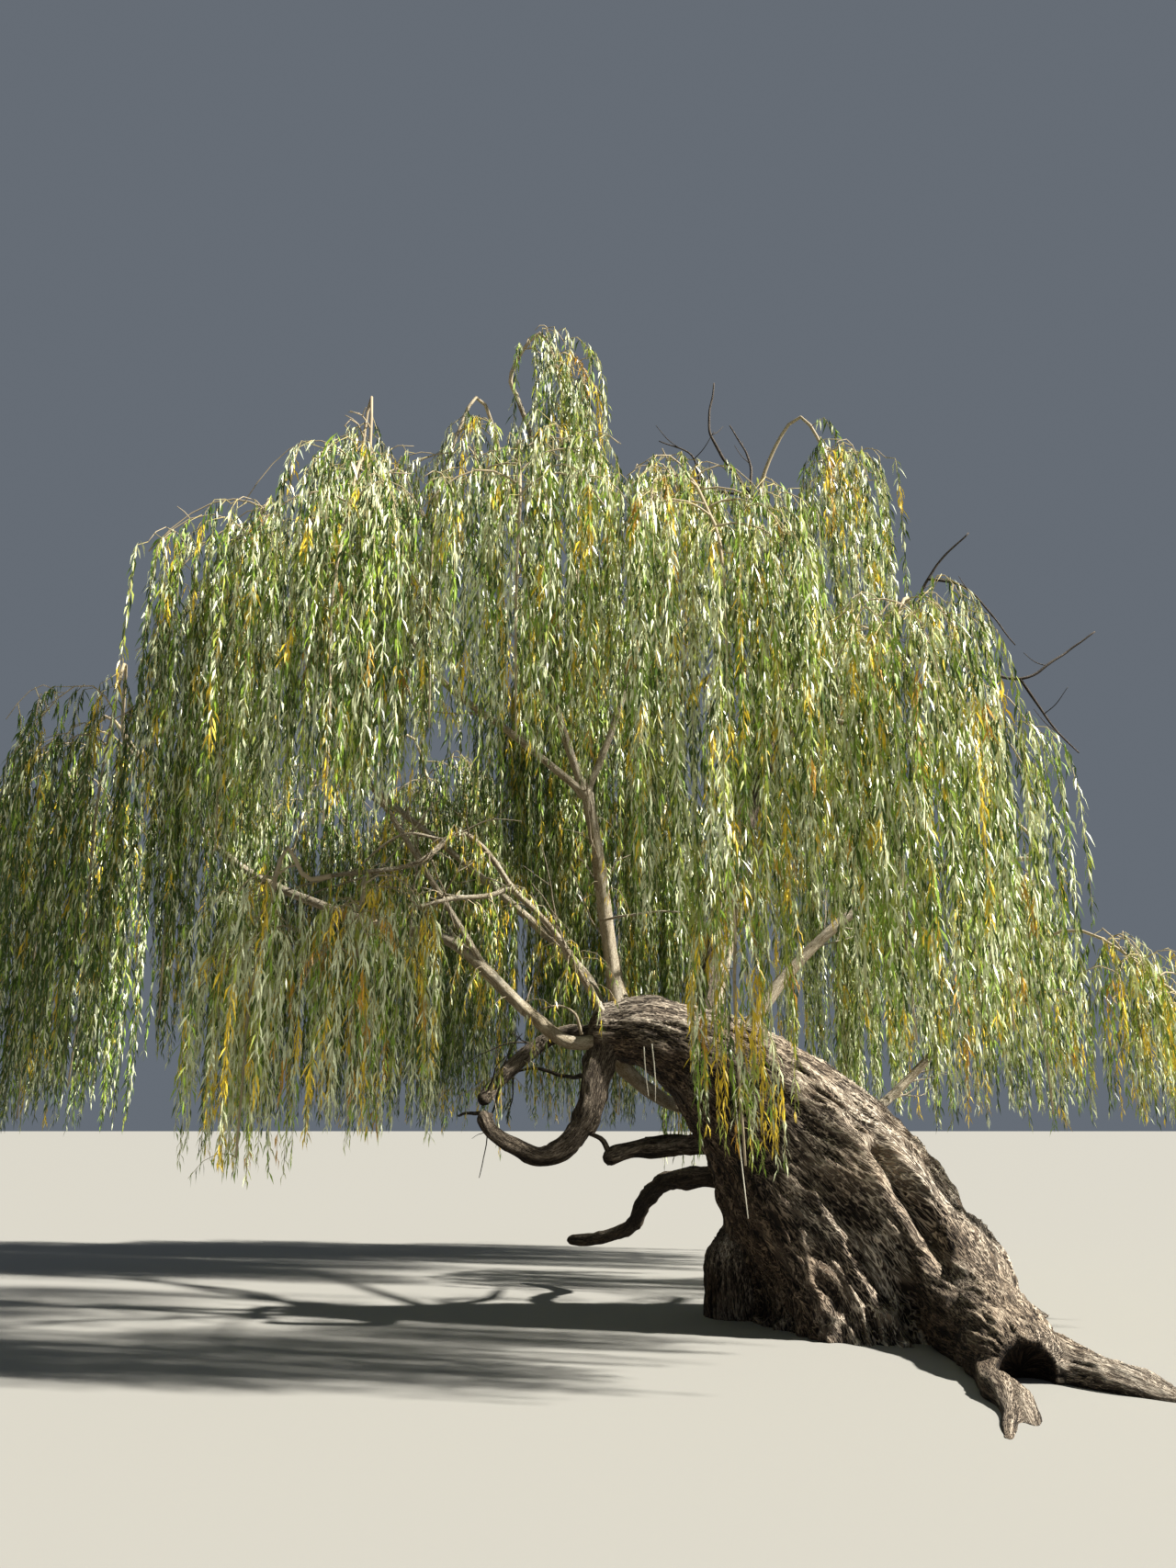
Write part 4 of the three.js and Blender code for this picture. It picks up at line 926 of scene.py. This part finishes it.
def misses_limbs(points, clearance):
    """True for the points that keep clear of trunk and boughs."""
    low, high = points.min(0) - 1, points.max(0) + 1
    near = ((limb_points > low) & (limb_points < high)).all(1)
    if not near.any():
        return np.ones(len(points), bool)
    wood, radii = limb_points[near], limb_radii[near]

    def gaps_of(chunk):
        return (np.linalg.norm(chunk[:, None] - wood, axis=2) - radii).min(1)

    return in_chunks(gaps_of, points, CHUNK // 2) > clearance


# %% [markdown]
# ## Withies
# A weeping willow's year-old shoots are as thin as string and some metres long, and hang straight
# down. Each springs from a side shoot at a slant, bows over within a hand's width and then follows gravity.
# Stepping along it while its pitch turns from the slant towards straight down draws just that line.

# %% Shoots and withies
STEP = 0.05
BOX_MARGIN = (0.13, 0.13, 0.04)  # how far past its solid's box a mass may reach
DOME = 0.8  # how far a mass's top has sunk at its sides, as a share of its half width
WITHY_RADIUS, WITHY_TIP_RADIUS = 0.0036, 0.0015
SHOOT_RADIUS, SHOOT_TIP_RADIUS = 0.0085, 0.0045
WITHY_GAP = 0.092  # between withies on one shoot
LONGEST_WITHY, SHORTEST_WITHY, ARCH_LENGTH = 4.2, 0.3, 0.25
SHOOT_SIDE, FORK_SIDE, WITHY_SIDE = (0.55, 2.1), (0.6, 1.3), (0.4, 1.5)  # how far each turns off
SHOOT_REACH, FORK_REACH = (0.5, 1.5), (0.35, 0.9)  # for the spread of the mass
WITHY_LIFT, WITHY_BOW, WITHY_SWAY = (-0.5, 0.75), (0.05, 0.22), (0.005, 0.035)
STEM_BARE = 0.16  # share of a stem that bears no shoots
STEM_START, SHOOT_START = 0.75, 0.08  # where the withies begin on a stem and on a shoot
ROD_STEP, ROD_SPREAD = 0.15, 1.6  # how far a rod's rings stand apart, and how much more towards its end
DOWN = -math.pi / 2
ALL_ROUND = 6.28  # the range of a heading that may be any, in radians
LIMB_CLEARANCE, LEAF_CLEARANCE = 0.012, 0.004
SHOOTS_PER_METRE = 4.0
DENSER = {"back": 1.5, "back_left": 1.25, "back_left_mid": 1.45, "back_right": 1.2, "low_back": 1.6,
          "inner_back": 1.2, "right_tip": 1.7, "low_right": 1.3}
USUAL_RAGGED = (0.55, 1.7)  # how much of the height the shortest withy leaves free, and how few stay high
RAGGED = {"veil": (0.85, 0.75)}


def withy_line(start, heading, lift, bow, length, sway, rng):
    """Springs out at lift, bows over within bow, and hangs."""
    run = np.arange(0, length + STEP, STEP)
    pitch = DOWN + (lift - DOWN) * np.exp(-run / bow)
    out, rise = (np.concatenate([[0], np.cumsum(part(pitch[:-1])) * STEP]) for part in (np.cos, np.sin))
    wave = np.sin(run * rng.uniform(1.2, 2.6) + rng.uniform(0, ALL_ROUND))
    drift = sway * wave * np.minimum(run / 0.5, 1)
    side = np.array([-math.sin(heading), math.cos(heading), 0])
    ahead = np.array([math.cos(heading), math.sin(heading), 0])
    return start + out[:, None] * ahead + drift[:, None] * side + rise[:, None] * (0, 0, 1)


def reach_of(mass, share=1.0):
    """The box that the mass's solid reaches, and a little more."""
    margin = share * np.array(BOX_MARGIN)
    return [np.array(corner) + way * margin for corner, way in zip(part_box("foliage_" + mass), (-1, 1))]


def within_reach(points, mass, share=1.0):
    """True for the points in the mass's box that lie under its rounded top."""
    low, high = reach_of(mass, share)
    off = (points - (low + high) / 2) / ((high - low) / 2)
    sunk = DOME * (high - low)[:2].min() / 2 * (off[:, 0] ** 2 + off[:, 1] ** 2)
    return (np.abs(off) < 1).all(1) & (points[:, 2] < high[2] - sunk)


def free_stretch(line, mass, foot, share=1.0):
    """The first stretch of a line that stays in its room, above its foot and clear of the limbs."""
    ok = is_free(line, mass) & within_reach(line, mass, share)
    ok &= (line[:, 2] > foot) & misses_limbs(line, LIMB_CLEARANCE)
    stop = len(line) if ok.all() else int(np.argmin(ok))
    return line[:stop]


def thin_rod(line, first, last, sides=3, rings=6):
    """A rod with rings close together where it bows and far apart where it hangs."""
    length = run_of(line)[-1]
    rings = max(4, min(rings, int(length / ROD_STEP) + 3))
    places = length * np.linspace(0, 1, rings) ** ROD_SPREAD
    return tube(along_line(line, places), np.linspace(first, last, rings), sides)[:2]


def arched_shoot(start, heading, reach, rng):
    """A side shoot: rises a little, bends to one side and sags at its end."""
    run = np.linspace(0, 1, 14)
    rise, sag = reach * rng.uniform(0.05, 0.40), reach * rng.uniform(0.35, 0.95)
    ways = heading + rng.uniform(-0.35, 0.35) * run
    flat = np.stack([np.cos(ways), np.sin(ways), 0 * run], axis=1) * (reach * run)[:, None]
    return start + flat + (rise * 4 * run * (1 - run * 0.8) - sag * run**2)[:, None] * (0, 0, 1)


def shoots_of(mass, rng):
    """The mass's stem, its side shoots and theirs, each as (line, first radius, last radius)."""
    *_, foot, spread = MASSES[mass]
    stem = spaced(stem_knots(mass), 0.05)
    forward = np.arctan2(*(stem[-1] - stem[len(stem) * 2 // 5])[[1, 0]])
    tail = withy_line(stem[-1], forward, -1.2, 0.15, stem[-1][2] - foot, 0.02, rng)
    tail = free_stretch(tail, mass, foot + 0.1)
    lines = [(np.vstack([stem, tail[1:]]), STEM_RADIUS, STEM_END_RADIUS)]
    length = run_of(stem)[-1]
    count = max(7, round(SHOOTS_PER_METRE * DENSER.get(mass, 1) * length * (0.5 + spread)))
    for number in range(count):
        place = length * (STEM_BARE + (1 - STEM_BARE) * (number + rng.uniform(0.1, 0.9)) / count)
        start = along_line(stem, [place])[0]
        heading = forward + (1 if number % 2 else -1) * rng.uniform(*SHOOT_SIDE)
        line = arched_shoot(start, heading, spread * rng.uniform(*SHOOT_REACH), rng)
        line = free_stretch(line, mass, foot)
        if len(line) > 4:
            lines.append((line, SHOOT_RADIUS, SHOOT_TIP_RADIUS))
            for side, share in zip(rng.permutation([-1, 1]), rng.uniform(0.25, 0.75, 2)):
                fork = along_line(line, [share * run_of(line)[-1]])[0]
                turned = heading + side * rng.uniform(*FORK_SIDE)
                fine = arched_shoot(fork, turned, spread * rng.uniform(*FORK_REACH), rng)
                fine = free_stretch(fine, mass, foot)
                if len(fine) > 4:
                    lines.append((fine, SHOOT_TIP_RADIUS, WITHY_RADIUS))
    return lines


def withies_of(mass, lines, rng):
    """Withies hang from every shoot and from the outer stem."""
    foot = MASSES[mass][3]
    free, power = RAGGED.get(mass, USUAL_RAGGED)
    withies = []
    for number, (line, _, _) in enumerate(lines):
        length = run_of(line)[-1]
        first = STEM_START if number == 0 else SHOOT_START
        places = np.arange(first, length, WITHY_GAP) + rng.uniform(-0.03, 0.03)
        places = np.append(places, length - 0.01)
        ahead = unit(np.gradient(line, axis=0))
        for k, place in enumerate(places):
            start = along_line(line, [place])[0]
            way = ahead[min(len(ahead) - 1, int(place / length * (len(ahead) - 1)))]
            along = math.atan2(way[1], way[0])
            side = (1 if k % 2 else -1) * rng.uniform(*WITHY_SIDE)
            if k == len(places) - 1:
                side = rng.uniform(-0.3, 0.3)
            lift, bow = rng.uniform(*WITHY_LIFT), rng.uniform(*WITHY_BOW)
            low = foot + (start[2] - foot) * free * rng.uniform(0, 1) ** power
            length_here = min(LONGEST_WITHY * rng.uniform(0.7, 1), start[2] - low + ARCH_LENGTH)
            if length_here < SHORTEST_WITHY:
                continue
            sway = rng.uniform(*WITHY_SWAY)
            withy = withy_line(start, along + side, lift, bow, length_here, sway, rng)
            withy = free_stretch(withy, mass, low, rng.uniform(0, 1))
            if run_of(withy)[-1] > SHORTEST_WITHY:
                withies.append(withy)
    return withies


# %% [markdown]
# ## Leaves
# A willow leaf is a narrow lance, ten times as long as wide, and it hangs from its withy with the tip down.
# Each is two faces over four points: enough for its own pointed outline and a bend from root to tip. They
# stand alternately round the withy, turned by the golden angle, and get smaller towards its end.

# %% Leaves along a withy
LEAF_GAP = 0.020
LEAF_LENGTH, LEAF_WIDTH = (0.095, 0.155), (0.0125, 0.0175)
GOLDEN_ANGLE = math.pi * (3 - math.sqrt(5))
JITTER = 0.4  # how far a leaf strays from its even place, in gaps, and from its even turn, in radians
BARE_START = 0.10
YOUNG_SHARE, YOUNG_STRETCH = 0.62, 0.5  # size of the leaves at the tip, and over what length they get there
LEAF_FACES = np.array([[0, 2, 1], [1, 2, 3]])
WIDEST = 0.42  # where a leaf is widest, as a share of its length
FULLNESS = 1.15  # two flat faces look slimmer than a rounded leaf
SLANT, BEND, TWIST = (0.15, 0.70), (0.1, 0.5), 1.25  # off from straight down, at the bend, round its spine


def leaves_on(line, rng):
    """Roots, turns and sizes of the leaves of one withy."""
    length = run_of(line)[-1]
    places = np.arange(BARE_START, length, LEAF_GAP)
    count = len(places)
    places = places + rng.uniform(-JITTER, JITTER, count) * LEAF_GAP
    turn = rng.uniform(0, ALL_ROUND) + GOLDEN_ANGLE * np.arange(count) + rng.uniform(-JITTER, JITTER, count)
    grown = YOUNG_SHARE + (1 - YOUNG_SHARE) * np.clip((length - places) / YOUNG_STRETCH, 0, 1)
    return along_line(line, places), turn, rng.uniform(*LEAF_LENGTH, count) * grown


def leaf_shapes(roots, turn, size, rng):
    """Four corners for each leaf: root, the two edges where it is widest, and tip."""
    count = len(roots)
    out = np.stack([np.cos(turn), np.sin(turn), np.zeros(count)], axis=1)
    slant = rng.uniform(*SLANT, count)
    spine = [roots]
    for way, share in ((slant, WIDEST), (slant - rng.uniform(*BEND, count), 1 - WIDEST)):
        ahead = np.sin(way)[:, None] * out - np.cos(way)[:, None] * (0, 0, 1)
        spine.append(spine[-1] + ahead * (size * share)[:, None])
    middle = unit(spine[2] - spine[0])
    wide = unit(np.cross(middle, out))
    face = np.cross(middle, wide)
    twist = rng.uniform(-TWIST, TWIST, count)[:, None]
    wide = wide * np.cos(twist) + face * np.sin(twist)
    half = (rng.uniform(*LEAF_WIDTH, count) * size / LEAF_LENGTH[1] / 2 * FULLNESS)[:, None]
    return np.stack([spine[0], spine[1] - wide * half, spine[1] + wide * half, spine[2]], axis=1)

# %% [markdown]
# ## Autumn tints
# The tree is turning: most sprays are still green, and a few have gone yellow or orange, mostly low down and
# on the outside. The silver leaves are partly the pale underside and partly a painted highlight, and the
# near-black green is painted shade. A pattern in the shader would lose its place on a joined mesh, so each
# spray is simply dealt one of six plain colours, by weights for each mass, and single leaves in it turn
# silver or take the painted-shade green.

# %% Leaf and withy finishes
TINTS = {
    # pale underside, and partly a painted highlight for the sun's glint on glossy leaves
    "silver_underside_highlight_leaf": (0.74, 0.79, 0.49),
    "green_leaf": (0.23, 0.36, 0.035),
    # painted shade: the dark green of leaves in shadow
    "painted_shade_leaf": (0.055, 0.10, 0.012),
    "olive_leaf": (0.36, 0.42, 0.065),
    "yellow_leaf": (0.80, 0.58, 0.04),
    "orange_leaf": (0.56, 0.30, 0.03),
}
UNDERSIDE_AND_HIGHLIGHT, IN_SHADE = 0.95, 1.4  # for each silver or painted-shade spray, single leaves so tinted among the others
SPRAY = 0.25  # a withy's leaves are dealt their tint in stretches of this length
SAME_TINT = 0.45  # share of the stretches that keep the withy's main tint
SILVER, SHADE_LEAF, YELLOW = (list(TINTS).index(name) for name in ("silver_underside_highlight_leaf", "painted_shade_leaf", "yellow_leaf"))
USUAL_WEIGHTS = (0.26, 0.29, 0.15, 0.24, 0.055, 0.005)
WEIGHTS = {  # in the order of the tints; masses at the back and far left get more painted-shade green
    "veil": (0.14, 0.22, 0.05, 0.22, 0.34, 0.03),
    "low_left_front": (0.36, 0.24, 0.06, 0.18, 0.15, 0.01),
    "low_left": (0.36, 0.24, 0.06, 0.18, 0.14, 0.02),
    "right_tip": (0.18, 0.24, 0.10, 0.26, 0.20, 0.02),
    "front_right": (0.25, 0.28, 0.13, 0.24, 0.09, 0.01),
    "front_far_right": (0.25, 0.28, 0.13, 0.24, 0.09, 0.01),
    "low_right": (0.20, 0.27, 0.12, 0.25, 0.15, 0.01),
    "left_far": (0.12, 0.28, 0.36, 0.19, 0.05, 0.00),
    "left_tip": (0.15, 0.27, 0.33, 0.20, 0.05, 0.00),
    "left": (0.16, 0.28, 0.29, 0.22, 0.05, 0.00),
    "shoulder_left": (0.22, 0.29, 0.21, 0.23, 0.05, 0.00),
    "front_left": (0.22, 0.29, 0.19, 0.23, 0.06, 0.01),
    "back_left": (0.12, 0.27, 0.36, 0.20, 0.05, 0.00),
    "back_left_mid": (0.14, 0.27, 0.32, 0.21, 0.06, 0.00),
    "back": (0.15, 0.27, 0.30, 0.22, 0.06, 0.00),
    "inner_back": (0.16, 0.28, 0.29, 0.22, 0.05, 0.00),
    "low_back": (0.12, 0.26, 0.30, 0.24, 0.08, 0.00),
}


def plain_finish(name, colour, roughness, shine):
    finish, shader, _, connect = node_maker(name)
    connect(shader, {"Base Color": (*colour, 1), "Roughness": roughness, "Specular IOR Level": shine})
    return finish


leaf_finishes = [plain_finish(name, colour, 0.34, 0.5) for name, colour in TINTS.items()]
bare_withy = plain_finish("bare_withy", (0.72, 0.68, 0.56), 0.6, 0.3)
withy_finishes = [plain_finish("withy_bark", (0.40, 0.33, 0.14), 0.6, 0.35),
                  plain_finish("shoot_bark", (0.40, 0.33, 0.22), 0.75, 0.3)]

# %% [markdown]
# ## Growing every mass
# Each mass gets its own seed, so that changing one leaves the others as they are. Its wood becomes one
# piece and its leaves another, and both stand for the mass's solid. A leaf is left out where its tip would
# leave the room or the solid's box, or where it would touch a limb.

# %% Growing and hanging the foliage
MASS_SEED = 100
totals = {"withies": 0, "leaves": 0, "wood": 0}


def hang(name, mass, verts, faces, finishes, finish_of_face=None):
    """One piece that stands for a mass's solid."""
    mesh = mesh_from(name, verts, faces, finish_of_face)
    dress(name, mesh, finishes, "foliage_" + mass)


def hang_leaves(name, mass, shapes, tint):
    """All leaves of one piece, each with its tint."""
    faces = (LEAF_FACES[None] + 4 * np.arange(len(shapes))[:, None, None]).reshape(-1, 3)
    hang(name, mass, shapes.reshape(-1, 3), faces, leaf_finishes, np.repeat(tint, len(LEAF_FACES)))
    totals["leaves"] += len(shapes)


def dealt_tints(count, weights, rng):
    """A tint for each leaf of one withy: most stretches keep its main one, and single leaves differ."""
    stretch = np.arange(count) // max(1, round(SPRAY / LEAF_GAP))
    stretches = stretch.max(initial=0) + 1
    main = rng.choice(len(TINTS), p=weights)
    dealt = np.where(rng.uniform(size=stretches) < SAME_TINT, main,
                     rng.choice(len(TINTS), size=stretches, p=weights))
    own, turned = dealt[stretch], rng.uniform(size=count)
    # single leaves turn silver (pale underside and painted highlight) or take the painted-shade green
    own = np.where((turned < UNDERSIDE_AND_HIGHLIGHT * weights[SILVER]) & (own < YELLOW), SILVER, own)
    return np.where((turned > 1 - IN_SHADE * weights[SHADE_LEAF]) & (own < YELLOW), SHADE_LEAF, own)


def grow_mass(number, mass):
    rng = np.random.default_rng(MASS_SEED + number)
    lines = shoots_of(mass, rng)
    withies = withies_of(mass, lines, rng)
    wood = [(*thin_rod(*lines[0], 6, 30), 1)] + [(*thin_rod(*line, 4, 8), 1) for line in lines[1:]]
    wood += [(*thin_rod(line, WITHY_RADIUS, WITHY_TIP_RADIUS), 0) for line in withies]
    finish_of_face = np.concatenate([np.full(len(faces), finish) for _, faces, finish in wood])
    hang("withies_" + mass, mass, *join_parts([part[:2] for part in wood]), withy_finishes, finish_of_face)

    weights = WEIGHTS.get(mass, USUAL_WEIGHTS)
    leaves = []
    for line in withies:
        own = leaves_on(line, rng)
        leaves.append((*own, dealt_tints(len(own[0]), weights, rng)))
    roots, turn, size, tint = (np.concatenate(values) for values in zip(*leaves))
    shapes = leaf_shapes(roots, turn, size, rng)
    tips = shapes[:, 3]
    keep = is_free(tips, mass) & within_reach(tips, mass) & misses_limbs(tips, LEAF_CLEARANCE)
    keep &= misses_limbs(shapes[:, 1], LEAF_CLEARANCE)
    hang_leaves("leaves_" + mass, mass, shapes[keep], tint[keep])
    totals["withies"] += len(withies)
    totals["wood"] += len(finish_of_face)


for number, mass in enumerate(MASSES):
    grow_mass(number, mass)
print(totals)

# %% [markdown]
# ## Sprigs on the bare boughs, and single bare withies
# The low boughs on the left look bare from afar, but short leafy twigs stand all along them. They are grown
# like withies, only shorter, and belong to the nearest mass. A few withies have lost their leaves and hang
# as pale threads in front of the trunk, so each of those is laid through a few listed points.

# %% Sprigs and bare withies
SPRIGS = {  # bough: where its sprigs start and end as shares, how many, and the mass that they belong to
    "bough_left_slender": (0.15, 1.0, 26, "low_left"),
    "bough_left_arch": (0.0, 1.0, 30, "low_left_front"),
    "bough_left_low": (0.0, 1.0, 22, "low_left"),
    "bough_left_thick": (0.30, 1.0, 26, "left_far"),
    "bough_upright": (0.10, 0.9, 14, "front_centre"),
    "bough_back_low": (0.15, 0.9, 16, "low_left"),
}
SPRIG_SEED = 500
SPRIG_LENGTH, SPRIG_RADII, SPRIG_LEAF = (0.15, 0.55), (0.0045, 0.0018), 0.9
SPRIG_WEIGHTS = (0.12, 0.24, 0.10, 0.24, 0.27, 0.03)
BARE_RADII = (0.0055, 0.0035)
BARE_WITHIES = [[(-1.28, -1.30, 1.98), (-1.25, -1.32, 1.4), (-1.20, -1.30, 0.86)],
                [(-1.83, -0.42, 2.0), (-1.82, -0.44, 1.8), (-1.80, -0.43, 1.64)],
                [(-1.77, -0.42, 2.02), (-1.75, -0.44, 1.8), (-1.75, -0.43, 1.6)]]


def sprigs_on(bough, number):
    """Short leafy side twigs that stand on an otherwise bare bough."""
    first, last, count, mass = SPRIGS[bough]
    rng = np.random.default_rng(SPRIG_SEED + number)
    points = spaced(LIMBS[bough][0], 0.04)
    wood, leaves = [], []
    for share in rng.uniform(first, last, count):
        start = points[min(len(points) - 1, int(share * len(points)))]
        line = withy_line(start, rng.uniform(0, ALL_ROUND), rng.uniform(-0.6, 1.2), rng.uniform(0.08, 0.25),
                          rng.uniform(*SPRIG_LENGTH), 0.02, rng)
        wood.append(thin_rod(line, *SPRIG_RADII))
        leaves.append(leaves_on(line, rng))
    hang("sprig_wood_" + bough, mass, *join_parts(wood), [withy_finishes[1]])
    roots, turn, size = (np.concatenate(values) for values in zip(*leaves))
    shapes = leaf_shapes(roots, turn, size * SPRIG_LEAF, rng)
    tint = rng.choice(len(TINTS), size=len(shapes), p=SPRIG_WEIGHTS)
    hang_leaves("sprig_leaves_" + bough, mass, shapes, tint)


for number, bough in enumerate(SPRIGS):
    sprigs_on(bough, number)
bare = join_parts([thin_rod(spaced(path, 0.05), *BARE_RADII, 5, 12) for path in BARE_WITHIES])
hang("bare_withies_veil", "veil", *bare, [bare_withy])
print("all foliage:", totals, "leaf triangles:", totals["leaves"] * len(LEAF_FACES))

# %% [markdown]
# ## Floor, light and camera
# The floor is one large pale plane. The light comes from high on the right in front, soft at its edges, so
# that the bark's ridges and the hanging sprays have a lit side and a shaded side, with a pale sky that
# fills the shade. The camera stands at a person's eye height and looks up a little.

# %% Setting the scene
FLOOR_HALF = 60
KEY_STRENGTH, KEY_COLOUR, KEY_WAY = 11.2, (1.0, 0.96, 0.88), (-0.72, 0.17, -0.67)
KEY_SOFTNESS = math.radians(2)
SKY_STRENGTH, SKY_COLOUR = 0.20, (0.66, 0.76, 0.90, 1)
PHOTO_HEIGHT, FOCAL_IN_PIXELS, SENSOR = 1707, 1300, 36
EYE, TILT = (-2.25, -9.6, 1.6), math.radians(14.9)

corners = [(x * FLOOR_HALF, y * FLOOR_HALF, 0) for x, y in ((-1, -1), (1, -1), (1, 1), (-1, 1))]
floor = put_in_scene("floor", mesh_from("floor", corners, [(0, 1, 2), (0, 2, 3)]))
floor.data.materials.append(plain_finish("pale_floor", (0.29, 0.285, 0.265), 0.9, 0.1))

sun = put_in_scene("key_light", bpy.data.lights.new("key_light", "SUN"))
sun.data.energy, sun.data.angle, sun.data.color = KEY_STRENGTH, KEY_SOFTNESS, KEY_COLOUR
sun.rotation_euler = Vector(KEY_WAY).to_track_quat("-Z", "Y").to_euler()

world = bpy.data.worlds.new("pale_sky")
world.use_nodes = True
sky = world.node_tree.nodes["Background"].inputs
sky["Color"].default_value, sky["Strength"].default_value = SKY_COLOUR, SKY_STRENGTH
bpy.context.scene.world = world
bpy.context.scene.view_settings.view_transform = "Standard"

camera = put_in_scene("camera", bpy.data.cameras.new("camera"))
camera.location = EYE
camera.rotation_euler = (math.pi / 2 + TILT, 0, 0)
camera.data.sensor_width = SENSOR
camera.data.lens = SENSOR * FOCAL_IN_PIXELS / PHOTO_HEIGHT
camera.data.clip_end = 500
bpy.context.scene.camera = camera
